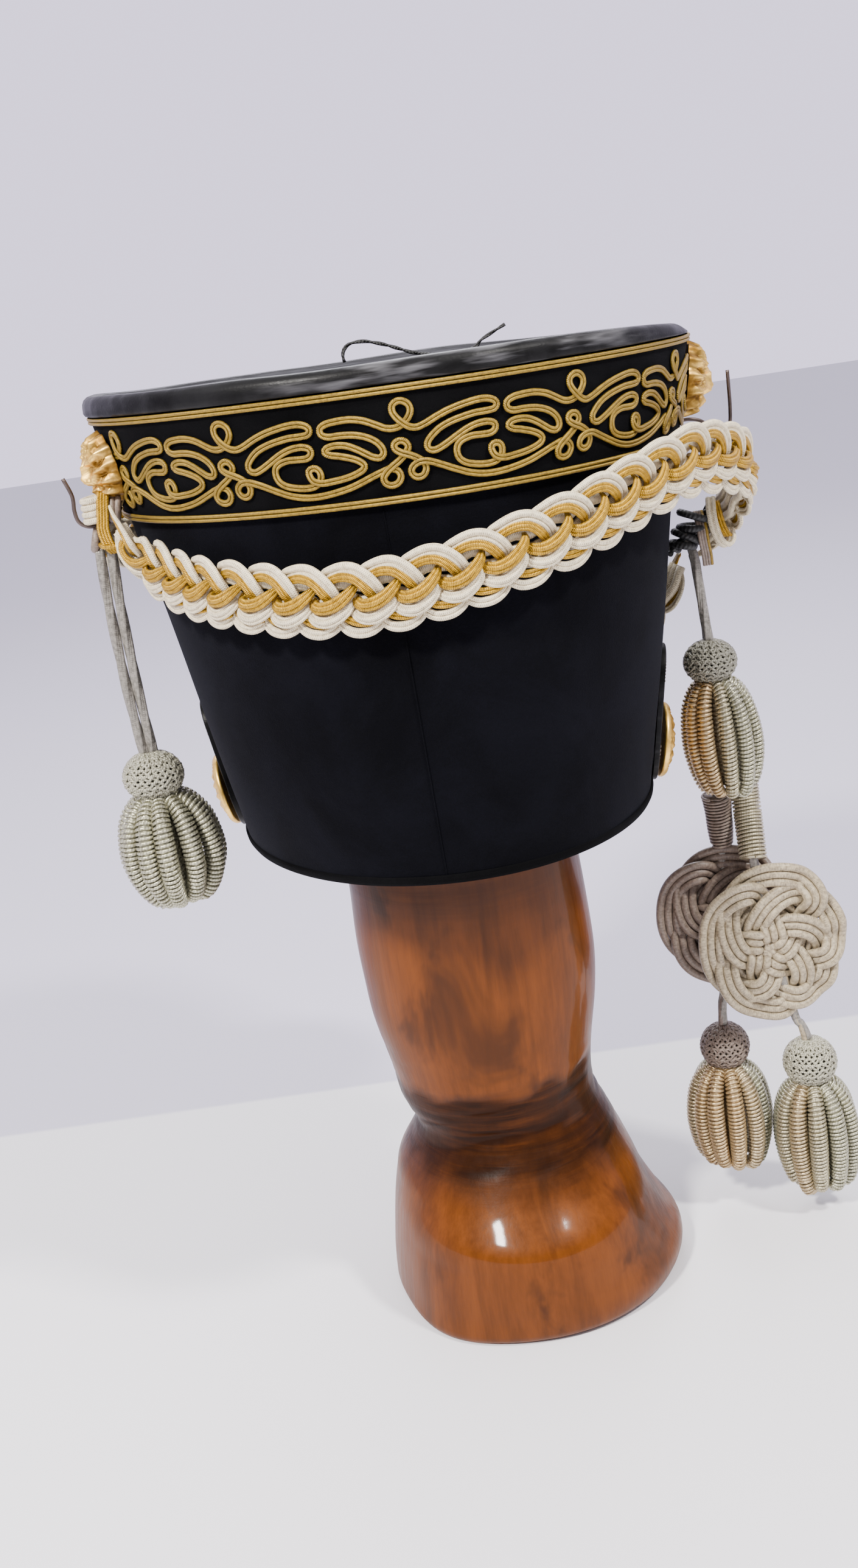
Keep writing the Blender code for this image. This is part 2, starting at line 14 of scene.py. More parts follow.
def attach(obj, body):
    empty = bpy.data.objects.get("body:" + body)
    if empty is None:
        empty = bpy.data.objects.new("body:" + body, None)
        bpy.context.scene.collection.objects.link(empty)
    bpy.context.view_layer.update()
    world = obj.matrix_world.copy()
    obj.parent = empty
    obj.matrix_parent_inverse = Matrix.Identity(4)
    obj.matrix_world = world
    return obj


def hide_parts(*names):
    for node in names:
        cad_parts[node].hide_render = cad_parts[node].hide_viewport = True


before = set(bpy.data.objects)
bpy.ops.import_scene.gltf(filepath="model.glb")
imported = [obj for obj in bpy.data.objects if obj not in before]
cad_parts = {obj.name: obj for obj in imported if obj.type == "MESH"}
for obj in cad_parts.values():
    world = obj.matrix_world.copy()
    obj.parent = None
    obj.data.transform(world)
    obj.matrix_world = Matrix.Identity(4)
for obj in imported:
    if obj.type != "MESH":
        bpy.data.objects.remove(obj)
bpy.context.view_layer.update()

# ---- sizes, as in the CAD source ----------------------------------------------------------------

GAP = 0.0003
RIM_Z, FLARE_TOP_Z, FELT_TOP_Z = 0.2335, 0.4147, 0.4195
RIM_HALF_X, RIM_HALF_Y = 0.088, 0.108
CROWN_HALF_X, CROWN_HALF_Y = 0.120, 0.116
FELT_WALL = 0.003
BORDER_HEIGHT = 0.003
LOWER_BORDER_Z, UPPER_BORDER_Z = 0.3775, 0.4147
VELVET = 0.0010
BORDER_RELIEF = 0.0018
CROWN_TOP_Z, CROWN_LEATHER, CROWN_TURN_DOWN_Z, CROWN_EDGE_OUT = 0.4228, 0.0026, 0.4182, 0.0032
# how far the leather's edge rises at the back, drops at the right and leans in there, and from
# where and over how much of the width it does so
CROWN_BACK_RISE, CROWN_RIGHT_DROP = 0.0030, 0.0042
CROWN_LEAN_BELOW, CROWN_LEAN_ABOVE, FELT_LEAN = 0.0018, 0.0064, 0.0085
LEAN_START_X, LEAN_WIDTH = 0.035, 0.085
PEAK_HALF_ANGLE, PEAK_DEPTH, PEAK_END_DEPTH, PEAK_ABOVE_RIM = 62.0, 0.052, 0.004, 0.0030
PEAK_SLOPE, PEAK_CURL, PEAK_LEATHER = 0.32, 1.6, 0.0026
PLAIT_OUT, PLAIT_END_TAPER = 0.0085, 0.030
CORD_RADIUS, CORD_STEP = 0.0021, 0.0012  # the free cords, and how far apart their points lie

# side, azimuth, height of the middle, height of the mask
BOSSES = (("left", -75.5, 0.3995, 0.027), ("right", 81.0, 0.3990, 0.030))
BOSS_WIDTH, BOSS_PROUD = 0.026, 0.0126
ROSETTES = (("left", -101.0, 0.2500), ("right", 79.0, 0.2500))
ROSETTE_RADIUS, ROSETTE_PROUD = 0.0162, 0.0065
TAB_RADIUS, TAB_TOP_RADIUS, TAB_RISE, TAB_THICK = 0.0172, 0.0125, 0.0300, 0.0028

# name, top, bottom, ball radius and length, skirt radius, coil radius, coils, fullness below,
# share of the coils with a painted warm glow, azimuth where those lie
TASSELS = (
    ("tassel_left", (-0.1222, -0.033, 0.2853), (-0.1192, -0.033, 0.2210), 0.0124, 0.0205, 0.0222,
     0.0036, 12, 0.62, 0.00, 20.0),
    ("tassel_right", (0.1214, -0.012, 0.2873), (0.1252, -0.012, 0.2172), 0.0116, 0.0195, 0.0178,
     0.0029, 11, 0.75, 0.28, -75.0),
    ("tassel_flounder_front", (0.1538, -0.010, 0.0883), (0.1548, -0.010, 0.0120), 0.0126, 0.0240,
     0.0205, 0.0038, 10, 0.82, 0.05, -60.0),
    ("tassel_flounder_back", (0.1191, 0.010, 0.0941), (0.1187, 0.010, 0.0215), 0.0118, 0.0230,
     0.0210, 0.0036, 11, 0.80, 0.40, -40.0),
)
# name, middle, half width, half height, azimuth it faces
FLOUNDERS = (
    ("flounder_front", (0.1408, -0.010, 0.1418), 0.0352, 0.0400, -4.0),
    ("flounder_back", (0.1262, 0.011, 0.1500), 0.0325, 0.0362, -12.0),
)

# the free cords, from where each one leaves the hat down to what it carries
CORD_LEFT_OUTER = (
    (-0.1262, -0.0310, 0.3683), (-0.1266, -0.0320, 0.3450), (-0.1258, -0.0330, 0.3100),
    (-0.1241, -0.0330, 0.2861), (-0.1224, -0.0330, 0.2790), (-0.1212, -0.0330, 0.2690),
)
CORD_LEFT_INNER = (
    (-0.1216, -0.0310, 0.3683), (-0.1222, -0.0330, 0.3450), (-0.1216, -0.0330, 0.3100),
    (-0.1205, -0.0330, 0.2861), (-0.1208, -0.0330, 0.2835),
)
CORD_RIGHT = (
    (0.1178, -0.0035, 0.3345), (0.1190, -0.0095, 0.3250), (0.1192, -0.0118, 0.3160),
    (0.1203, -0.0120, 0.3020), (0.1214, -0.0120, 0.2879), (0.1220, -0.0120, 0.2780),
    (0.1228, -0.0120, 0.2620),
)
CORD_FLOUNDER_FRONT = (
    (0.1266, 0.0155, 0.3207), (0.1278, 0.0155, 0.3109), (0.1291, 0.0155, 0.2962),
    (0.1304, 0.0150, 0.2815), (0.1326, 0.0130, 0.2600), (0.1355, 0.0110, 0.2400),
    (0.1380, 0.0090, 0.2260), (0.1386, 0.0080, 0.2145), (0.1380, 0.0040, 0.2010),
    (0.1356, -0.0060, 0.1815), (0.1395, -0.0100, 0.1410), (0.1480, -0.0100, 0.1024),
    (0.1510, -0.0100, 0.0965), (0.1538, -0.0100, 0.0860), (0.1542, -0.0100, 0.0620),
)
CORD_FLOUNDER_BACK = (
    (0.1248, 0.0100, 0.3217), (0.1261, 0.0100, 0.3119), (0.1273, 0.0100, 0.2974),
    (0.1280, 0.0100, 0.2828), (0.1264, 0.0100, 0.2600), (0.1252, 0.0100, 0.2300),
    (0.1255, 0.0090, 0.2100), (0.1262, 0.0100, 0.1985), (0.1268, 0.0110, 0.1852),
    (0.1250, 0.0110, 0.1490), (0.1215, 0.0110, 0.1136), (0.1197, 0.0100, 0.1045),
    (0.1191, 0.0100, 0.0930), (0.1189, 0.0100, 0.0700),
)
# name, radius at the top and below, and the part of its cord that the shank is wound on
SHANKS = (
    ("shank_front", 0.0062, 0.0058, CORD_FLOUNDER_FRONT[7:10]),
    ("shank_back", 0.0066, 0.0046, CORD_FLOUNDER_BACK[6:9]),
)
# side, finish, and the part of its cord that the doubled stem lies on
STEMS = (
    # the back stem is the cream cord painted darker as shade, and browner
    ("front", "cream", CORD_FLOUNDER_FRONT[10:14]), ("back", "tan", CORD_FLOUNDER_BACK[9:13]),
)

HOOK_LEFT = (
    (-0.1150, -0.0295, 0.3835), (-0.1172, -0.0300, 0.3800), (-0.1205, -0.0300, 0.3780),
    (-0.1245, -0.0300, 0.3775), (-0.1292, -0.0300, 0.3780), (-0.1320, -0.0300, 0.3802),
    (-0.1328, -0.0300, 0.3844), (-0.1326, -0.0300, 0.3902), (-0.1348, -0.0300, 0.3972),
)
HOOK_RIGHT = (
    (0.1160, -0.0109, 0.3818), (0.1215, -0.0106, 0.3820), (0.1265, -0.0100, 0.3808),
    (0.1305, -0.0092, 0.3779), (0.1355, -0.0078, 0.3742), (0.1402, -0.0064, 0.3760),
    (0.1416, -0.0060, 0.3830), (0.1417, -0.0060, 0.3993),
)
LACING = (
    (0.1318, -0.0040, 0.3440), (0.1278, -0.0040, 0.3405), (0.1226, -0.0045, 0.3340),
    (0.1160, -0.0050, 0.3298), (0.1088, -0.0090, 0.3284),
)
# the gold band over the left hook, the ends below the lacing, and the loop beside it
HOOK_BAND = (
    (-0.1200, -0.0290, 0.3902), (-0.1206, -0.0345, 0.3897), (-0.1214, -0.0372, 0.3855),
    (-0.1222, -0.0376, 0.3805), (-0.1228, -0.0378, 0.3765), (-0.1222, -0.0380, 0.3722),
    (-0.1210, -0.0380, 0.3690), (-0.1196, -0.0365, 0.3672),
)
HOOK_BAND_END = (
    (-0.1252, -0.0340, 0.3706), (-0.1240, -0.0382, 0.3700), (-0.1205, -0.0392, 0.3696),
    (-0.1180, -0.0380, 0.3694),
)
FESTOON_ENDS = (
    (0.1228, -0.0085, 0.3430), (0.1222, -0.0145, 0.3370), (0.1226, -0.0150, 0.3310),
    (0.1240, -0.0130, 0.3250), (0.1250, -0.0105, 0.3200),
)
RIGHT_LOOP_WHITE = (
    (0.1276, -0.0090, 0.3480), (0.1262, -0.0130, 0.3430), (0.1262, -0.0150, 0.3370),
    (0.1282, -0.0150, 0.3305), (0.1314, -0.0140, 0.3278), (0.1344, -0.0120, 0.3296),
    (0.1352, -0.0090, 0.3340),
)
RIGHT_LOOP_GOLD = (
    (0.1296, -0.0080, 0.3460), (0.1292, -0.0120, 0.3410), (0.1302, -0.0130, 0.3355),
    (0.1322, -0.0125, 0.3318), (0.1338, -0.0100, 0.3312),
)
CROWN_TIE = (
    (-0.0137, 0.030, 0.4238), (-0.0142, 0.030, 0.4265), (-0.0133, 0.030, 0.4290),
    (-0.0112, 0.030, 0.4308), (-0.0084, 0.030, 0.4313), (-0.0043, 0.030, 0.4312),
    (-0.0003, 0.030, 0.4302), (0.0043, 0.030, 0.4287), (0.0085, 0.030, 0.4269),
    (0.0125, 0.030, 0.4252), (0.0164, 0.030, 0.4237), (0.0240, 0.031, 0.4218),
    (0.0340, 0.031, 0.4212), (0.0425, 0.030, 0.4222), (0.0458, 0.030, 0.4248),
    (0.0495, 0.030, 0.4266), (0.0533, 0.030, 0.4283), (0.0571, 0.030, 0.4300),
)

# azimuth, height, and where it isn't PLAIT_OUT, distance of the plait's middle from the felt
BACK_PLAIT_ON_HAT = (
    (-66.0, 0.3635, 0.0095), (-55.0, 0.3552), (-40.0, 0.3502), (-25.0, 0.3470), (-10.0, 0.3480),
    (5.0, 0.3530), (20.0, 0.3592), (33.0, 0.3658, 0.0090),
)
BACK_PLAIT_LEFT_END = ((-0.1200, -0.0440, 0.3795), (-0.1150, -0.0475, 0.3690))
BACK_PLAIT_RIGHT_END = (
    (0.0937, -0.0845, 0.3722), (0.1089, -0.0700, 0.3722), (0.1233, -0.0550, 0.3688),
    (0.1358, -0.0380, 0.3636), (0.1420, -0.0200, 0.3562), (0.1414, -0.0080, 0.3480),
    (0.1388, 0.0020, 0.3390), (0.1345, 0.0070, 0.3300), (0.1290, 0.0085, 0.3240),
)
# where the crests of its stitches stand, in millimetres along it from the left
BACK_PLAIT_CRESTS = (
    7.0, 21.0, 34.6, 46.8, 59.5, 74.5, 89.2, 104.0, 120.3, 135.3, 151.2, 167.3, 185.1, 202.6,
    220.2, 236.6, 254.2, 273.5, 292.0, 309.5, 326.0, 342.0, 357.0, 371.0, 384.0,
)
FRONT_PLAIT_STITCH = 0.0168
FRONT_PLAIT_ON_HAT = (
    (106.0, 0.2920), (120.0, 0.2830), (138.0, 0.2770), (158.0, 0.2760), (178.0, 0.2800),
    (198.0, 0.2930), (216.0, 0.3140), (232.0, 0.3420), (246.0, 0.3620),
)
FRONT_PLAIT_RIGHT_END = ((0.1255, 0.0230, 0.3180), (0.1165, 0.0240, 0.3050))
FRONT_PLAIT_LEFT_END = ((-0.1255, 0.0150, 0.3690), (-0.1260, -0.0150, 0.3690))

# the carved stand, from the floor up: height, half width, half depth, offset of the middle in X
STAND_SECTIONS = (
    (0.0000, 0.0650, 0.0680, 0.0120), (0.0030, 0.0680, 0.0710, 0.0130),
    (0.0120, 0.0690, 0.0720, 0.0142), (0.0230, 0.0652, 0.0712, 0.0118),
    (0.0400, 0.0598, 0.0690, 0.0092), (0.0520, 0.0566, 0.0648, 0.0086),
    (0.0620, 0.0534, 0.0592, 0.0082), (0.0760, 0.0463, 0.0508, 0.0098),
    (0.0850, 0.0433, 0.0462, 0.0090), (0.0960, 0.0445, 0.0450, 0.0055),
    (0.1130, 0.0464, 0.0472, 0.0048), (0.1380, 0.0511, 0.0508, 0.0044),
    (0.1560, 0.0527, 0.0522, 0.0045), (0.1750, 0.0529, 0.0525, 0.0040),
    (0.2000, 0.0516, 0.0525, 0.0036), (0.2330, 0.0499, 0.0518, 0.0019),
    (0.2450, 0.0470, 0.0475, 0.0004), (0.2550, 0.0360, 0.0360, 0.0), (0.2620, 0.0300, 0.0300, 0.0),
    (0.3850, 0.0300, 0.0300, 0.0), (0.3970, 0.0440, 0.0440, 0.0),
    (0.4050, 0.0560, 0.0560, 0.0), (0.4130, 0.0560, 0.0560, 0.0),
    (0.4180, 0.0490, 0.0490, 0.0), (0.4195, 0.0400, 0.0400, 0.0),
)
STAND_FOOT = (0.0, 0.0006, 0.0015, 0.003, 0.005, 0.008)  # its lowest levels, then every STAND_STEP
STAND_STEP, STAND_STEPS = 0.0019, 123
STAND_HEAD = (0.2450, 0.2480, 0.2510, 0.2550, 0.2590, 0.2620, 0.3000, 0.3400, 0.3850, 0.3910,
              0.3970, 0.4010, 0.4050, 0.4090, 0.4130, 0.4160, 0.4180, 0.4190, 0.4195)
STAND_SHOULDER_Z, STAND_SHOULDER, STAND_WAIST_Z = 0.0435, 0.0072, 0.092
# heights of the staining's lower and upper edges, and of the painted shade under the hat's brim
STAND_STAIN_LOW, STAND_STAIN_TOP, STAND_HAT_SHADE_Z = 0.057, 0.112, 0.209

# ---- the scrollwork, one repeat: degrees from its knot, height in millimetres -------------------

SCROLL_WIDTH = 31.3  # degrees that the points below were drawn for
SCROLL_STEP = 0.0008  # how far apart the braid's points lie
SCROLL_KNOTS = (-67.6, -37.3, -6.0, 25.3, 56.4)  # the knots at the back; the rest are spread evenly
SCROLL_REPEATS = 11
UPPER_SCROLL = (
    (-1.4, 403.0), (-0.2, 403.8), (0.8, 405.4), (1.45, 407.6), (1.3, 409.8), (0.5, 411.2),
    (-0.5, 411.4), (-1.3, 410.3), (-1.45, 408.4), (-0.95, 406.3), (-0.1, 404.4), (0.9, 402.9),
    (2.1, 402.3), (3.6, 403.1), (5.8, 405.0), (8.0, 406.5), (10.5, 407.6), (12.7, 408.2),
    (14.3, 408.1), (15.5, 407.2), (15.9, 405.8), (15.4, 404.5), (14.0, 404.2), (12.0, 404.1),
    (10.0, 403.5), (8.0, 402.6), (6.0, 401.1), (4.5, 399.0), (3.55, 396.8), (3.6, 394.9),
    (4.6, 394.1), (6.0, 395.0), (7.5, 396.5), (9.0, 398.1), (10.5, 399.5), (12.2, 400.5),
    (14.0, 400.7), (15.2, 399.8), (15.3, 398.1), (14.5, 396.9), (13.0, 396.8), (11.2, 396.9),
    (9.6, 396.2), (8.6, 394.8), (8.3, 392.6), (8.6, 390.3), (9.6, 388.6), (11.2, 387.6),
    (13.0, 387.1), (14.6, 387.3), (15.8, 388.5), (16.25, 390.6), (16.0, 392.6), (15.2, 393.4),
    (14.35, 392.6), (14.4, 390.7), (15.0, 389.0), (16.4, 388.2), (18.5, 388.4), (20.5, 388.9),
    (22.3, 389.8), (23.6, 391.0), (23.9, 392.4), (23.2, 393.9), (21.8, 395.2), (20.0, 396.3),
    (18.5, 397.0), (17.7, 398.1), (18.1, 399.3), (19.6, 399.9), (21.4, 399.4), (23.0, 397.9),
    (24.4, 396.1), (25.6, 394.6), (26.7, 394.1), (27.4, 395.2), (27.3, 397.2), (26.5, 399.4),
    (25.0, 401.3), (23.0, 402.5), (20.8, 402.9), (18.8, 402.9), (17.7, 404.0), (17.7, 405.9),
    (18.7, 407.1), (20.6, 407.6), (22.8, 407.6), (24.9, 406.7), (26.8, 404.9), (28.4, 403.3),
)
LOWER_SCROLL = (
    (-4.6, 389.4), (-3.2, 390.1), (-2.0, 389.2), (-1.6, 387.2), (-2.2, 385.2), (-3.4, 384.6),
    (-4.4, 385.7), (-4.5, 387.5), (-3.8, 389.3), (-2.6, 391.0), (-1.3, 392.6), (-0.3, 394.4),
    (0.3, 396.3), (-0.1, 398.1), (-1.0, 398.7), (-1.9, 397.8), (-1.9, 396.3), (-1.0, 394.9),
    (0.3, 393.8), (1.5, 392.5), (2.5, 390.8), (2.8, 388.6), (2.2, 386.6), (1.1, 386.2),
    (0.3, 387.6), (0.5, 389.6), (1.6, 391.0), (3.2, 391.0), (5.2, 389.4), (7.6, 387.2),
    (10.2, 385.1), (12.8, 384.0), (15.5, 383.9), (18.5, 384.6), (21.2, 385.7), (23.6, 387.3),
    (25.4, 388.6),
)
SCROLL_MIDDLE_Z, SCROLL_STRETCH = 397.5, 1.04  # fits the drawing between the two borders
RIDGE_RADIUS, RIDGE_OFFSET = 0.00066, 0.00062  # the braid is two round ridges side by side

# ---- one stitch of the plait, in millimetres from its crest: along, up, out ---------------------
# finish, threads (distance aside, radius, distance out), fullness at start, middle and end, points

STITCH_LENGTH = 16.2
FLAT_BAND = ((1.30, 0.86, -0.35), (0.0, 0.95, 0.25), (-1.30, 0.86, -0.35))
STITCH = (
    ("white", ((0.0, 1.36, 0.0), (-2.05, 1.00, -0.4)), (0.85, 1.0, 0.9),
     ((-11.0, 8.2, -3.2), (-9.2, 10.5, -1.6), (-5.8, 11.8, -0.3), (-2.5, 12.5, 0.4),
      (0.6, 12.6, 1.0), (3.8, 11.8, 1.4), (6.8, 9.8, 1.6), (9.2, 7.2, 1.3), (10.9, 4.4, 0.5),
      (11.9, 1.8, -0.8), (12.4, -0.4, -2.8))),
    ("gold", ((1.0, 0.68, -0.1), (0.0, 0.76, 0.15), (-1.0, 0.68, -0.1)), (0.8, 1.12, 1.0),
     ((-9.2, 4.6, -3.0), (-7.4, 7.3, -1.2), (-3.7, 8.6, 0.2), (-0.3, 8.6, 0.9),
      (2.9, 7.5, 1.3), (5.3, 5.2, 1.2), (7.1, 2.4, 0.6), (8.2, 0.1, -0.8), (8.7, -2.2, -2.8))),
    ("gold", FLAT_BAND, (0.85, 1.12, 0.50),
     ((2.2, 0.6, -3.2), (2.0, -0.6, -0.8), (3.4, -1.5, 1.5), (5.8, -1.9, 2.6), (9.1, -1.5, 3.0),
      (12.5, -0.3, 2.8), (15.4, 1.5, 2.2), (17.4, 3.0, 1.2), (18.7, 4.2, -0.6),
      (19.3, 5.0, -2.4))),
    ("white", FLAT_BAND, (0.80, 1.05, 0.60),
     ((0.6, -3.4, -3.0), (0.7, -4.8, -0.8), (2.2, -6.0, 0.6), (4.3, -6.8, 1.4), (7.6, -7.0, 1.7),
      (11.6, -5.6, 1.5), (14.8, -3.6, 0.8), (16.4, -1.9, -0.5), (17.2, -0.7, -2.4))),
)
# the same for the strands below
STITCH_BELOW = (
    ("gold", ((0.62, 0.70, 0.0), (-0.62, 0.70, 0.0)), (0.8, 1.1, 0.8),
     ((-7.2, -5.2, -2.6), (-5.2, -7.0, -1.0), (-2.1, -8.5, -0.4), (1.7, -9.1, -0.3),
      (5.4, -8.8, -0.7), (8.0, -7.8, -2.4))),
    ("white", ((0.78, 0.98, 0.0), (-0.88, 1.0, -0.2)), (0.8, 1.05, 0.8),
     ((-9.4, -6.4, -3.2), (-7.8, -8.8, -1.8), (-5.1, -11.4, -1.0), (-1.6, -12.5, -0.8),
      (2.4, -12.3, -0.8), (6.3, -10.5, -1.3), (8.6, -8.0, -2.8))),
)
# metres along the plait, and how far along and up its lower strands are moved there
BELOW_SHIFT = ((0.0, 7.0, 1.8), (0.18, 0.0, 0.0))
STITCH_BACKING = ((4.6, -3.6), (-0.5, -3.4), (-6.0, -3.6))  # up, out: cords behind the stitches

seeded = random.Random(1812)


# ---- plain sums, and the hat's surface ----------------------------------------------------------


def within(value):
    """A value kept between 0 and 1."""
    return min(1.0, max(0.0, value))


def bell(value, middle, wide):
    """1 at the middle, falling away smoothly on both sides."""
    return math.exp(-(((value - middle) / wide) ** 2))


def hat_half_widths(z):
    """Half width and half depth of the felt's outer face at a height."""
    rise = (z - RIM_Z) / (FLARE_TOP_Z - RIM_Z)
    return (RIM_HALF_X + rise * (CROWN_HALF_X - RIM_HALF_X),
            RIM_HALF_Y + rise * (CROWN_HALF_Y - RIM_HALF_Y))


def hat_point(azimuth, z, out=0.0):
    """A point that is a distance out from the felt's outer face."""
    half_x, half_y = hat_half_widths(z)
    turn = math.radians(azimuth)
    return Vector(((half_x + out) * math.sin(turn), -(half_y + out) * math.cos(turn), z))


def onto_felt(spot, out):
    """The point straight out from the felt that is nearest to a spot beside it."""
    half_x, half_y = hat_half_widths(spot.z)
    return hat_point(math.degrees(math.atan2(spot.x / half_x, -spot.y / half_y)), spot.z, out)


def hat_frame(azimuth, z, out):
    """Local axes on the felt: X along the wall, Y up the wall, Z straight out of it."""
    along = (hat_point(azimuth + 1, z) - hat_point(azimuth - 1, z)).normalized()
    up = (hat_point(azimuth, z + 0.001) - hat_point(azimuth, z - 0.001)).normalized()
    normal = along.cross(up).normalized()
    axes = Matrix((along, normal.cross(along), normal)).transposed().to_4x4()
    return Matrix.Translation(hat_point(azimuth, z, out)) @ axes


# ---- finishes -----------------------------------------------------------------------------------


def feed(tree, node, inputs):
    """Sets or links a node's inputs."""
    for key, value in dict(inputs).items():
        if isinstance(value, bpy.types.NodeSocket):
            tree.links.new(value, node.inputs[key])
        else:
            node.inputs[key].default_value = value
    return node


def place(tree, kind, inputs=(), **settings):
    """Adds a node with its settings and inputs."""
    made = tree.nodes.new("ShaderNode" + kind)
    for name, value in settings.items():
        setattr(made, name, value)
    return feed(tree, made, inputs)


def sums(tree, operation, *values):
    """The output of a Math node."""
    return place(tree, "Math", enumerate(values), operation=operation).outputs[0]


def opaque(value):
    """A plain colour is written as three numbers, and a socket takes four."""
    return (*value, 1.0) if isinstance(value, tuple) else value


def blend_colour(tree, amount, low, high):
    """The output of a colour Mix node."""
    inputs = {0: amount, 6: opaque(low), 7: opaque(high)}
    return place(tree, "Mix", inputs, data_type="RGBA").outputs[2]


def between(tree, value, low, high, to_low=0.0, to_high=1.0):
    """A smooth step of a value from one range to another."""
    inputs = {"Value": value, "From Min": low, "From Max": high,
              "To Min": to_low, "To Max": to_high}
    return place(tree, "MapRange", inputs, interpolation_type="SMOOTHSTEP").outputs["Result"]


def speckle(tree, where, scale, detail=3.0, roughness=0.55, distortion=0.0):
    """A noise value from 0 to 1."""
    inputs = {"Vector": where, "Scale": scale, "Detail": detail, "Roughness": roughness,
              "Distortion": distortion}
    return place(tree, "TexNoise", inputs).outputs["Fac"]


def object_spot(tree):
    """Where on the object a pattern is, in metres."""
    return place(tree, "TexCoord").outputs["Object"]


def drawn_out(tree, where, *scale):
    """Coordinates scaled along each axis, so that a pattern on them runs longer one way."""
    return place(tree, "Mapping", {"Vector": where, "Scale": scale}).outputs[0]


def effect(name, inputs, outputs):
    """An empty node group with named values in and out; gives the tree and its two end nodes."""
    tree = bpy.data.node_groups.new(name, "ShaderNodeTree")
    for label, value in inputs:
        socket = tree.interface.new_socket(label, in_out="INPUT", socket_type="NodeSocketFloat")
        socket.default_value = value
    for label in outputs:
        tree.interface.new_socket(label, in_out="OUTPUT", socket_type="NodeSocketFloat")
    start = tree.nodes.new("NodeGroupInput").outputs
    end = tree.nodes.new("NodeGroupOutput").inputs
    return tree, start, end


def use_effect(tree, name, inputs=()):
    """Places a shared effect with its own values; gives its outputs."""
    made = tree.nodes.new("ShaderNodeGroup")
    made.node_tree = bpy.data.node_groups[name]
    return feed(tree, made, inputs).outputs


def make_effects():
    """Spun thread for every cord, grain for leather, and uneven wear for everything."""
    tree, start, end = effect(
        "spun_thread", (("Ribs", 2000.0), ("Lean", 3.0), ("Fibres", 900.0)),
        ("Twist", "Plaited", "Uneven"))
    coordinates = place(tree, "TexCoord").outputs
    along, around, _ = place(tree, "SeparateXYZ", {0: coordinates["UV"]}).outputs
    ribs = sums(tree, "MULTIPLY", along, start["Ribs"])
    lean = sums(tree, "MULTIPLY", around, start["Lean"])
    waves = []
    for operation in ("ADD", "SUBTRACT"):
        phase = sums(tree, "MULTIPLY", sums(tree, operation, ribs, lean), 2 * math.pi)
        waves.append(sums(tree, "MULTIPLY_ADD", sums(tree, "SINE", phase), 0.5, 0.5))
    uneven = speckle(tree, coordinates["Object"], start["Fibres"], 4.0, 0.6)
    tree.links.new(waves[0], end["Twist"])
    tree.links.new(sums(tree, "MAXIMUM", *waves), end["Plaited"])
    tree.links.new(uneven, end["Uneven"])

    tree, start, end = effect("leather_grain", (("Scale", 900.0),), ("Height", "Creases"))
    where = object_spot(tree)
    cells = place(tree, "TexVoronoi", {"Vector": where, "Scale": start["Scale"]},
                  feature="DISTANCE_TO_EDGE").outputs["Distance"]
    pebbles = between(tree, cells, 0.0, 0.60, 0.0, 0.35)
    folds = speckle(tree, where, 60.0, 5.0, 0.6, 0.8)
    tree.links.new(sums(tree, "MULTIPLY_ADD", folds, 0.6, pebbles), end["Height"])
    tree.links.new(between(tree, folds, 0.35, 0.65), end["Creases"])

    tree, start, end = effect(
        "uneven_wear", (("Scale", 40.0), ("Low", 0.4), ("High", 0.65)), ("Patches", "Specks"))
    where = object_spot(tree)
    broad = speckle(tree, where, start["Scale"], 5.0, 0.6, 0.5)
    patches = place(tree, "MapRange", {"Value": broad, "From Min": start["Low"],
                                       "From Max": start["High"]}).outputs["Result"]
    tree.links.new(patches, end["Patches"])
    fine = sums(tree, "MULTIPLY", start["Scale"], 20.0)
    tree.links.new(speckle(tree, where, fine, 2.0), end["Specks"])


def finish_base(name, **constants):
    """A new material; constants go on the shader's own sockets."""
    material = bpy.data.materials.new(name)
    material.use_nodes = True
    tree = material.node_tree
    shader = tree.nodes["Principled BSDF"]
    for label, value in constants.items():
        shader.inputs[label.replace("_", " ")].default_value = opaque(value)
    return material, tree, shader.inputs


def paint(tree, sockets, colour, roughness):
    """Links the two values that every finish has."""
    tree.links.new(colour, sockets["Base Color"])
    tree.links.new(roughness, sockets["Roughness"])


def relief(tree, sockets, height, strength, distance):
    """Links a bump, for detail too fine for the mesh."""
    bump = place(tree, "Bump", {"Height": height, "Strength": strength, "Distance": distance})
    tree.links.new(bump.outputs["Normal"], sockets["Normal"])


def cord_finish(name, dark, light, ribs, lean, roughness, metallic=0.0, plaited=False,
                strength=0.5, painted_light=None, groove_shade=0.5):
    """Spun thread: ribs across the cord with painted shade darkening their grooves, and uneven
    fibres. Ribs are counted for each metre; a coil's own tone turns it towards a colour of painted
    light, a warm glow on bullion and shade on netting."""
    material, tree, sockets = finish_base(name, Metallic=metallic)
    thread = use_effect(tree, "spun_thread", {"Ribs": ribs, "Lean": lean, "Fibres": 700.0})
    ridge = thread["Plaited" if plaited else "Twist"]
    # the ribs' grooves are darkened as painted shade, as strongly as the weight given for it
    shade = sums(tree, "MULTIPLY_ADD", thread["Uneven"], 0.9,
                 sums(tree, "MULTIPLY", ridge, groove_shade))
    colour = blend_colour(tree, between(tree, shade, 0.25 + groove_shade * 0.1, 0.70 + groove_shade * 0.7),
                          dark, light)
    if painted_light:
        tone = place(tree, "Attribute", attribute_name="tone").outputs["Fac"]
        colour = blend_colour(tree, tone, colour, painted_light)
    paint(tree, sockets, colour,
          between(tree, thread["Uneven"], 0.2, 0.8, roughness - 0.1, roughness + 0.12))
    relief(tree, sockets, ridge, strength, 0.00025)
    return material


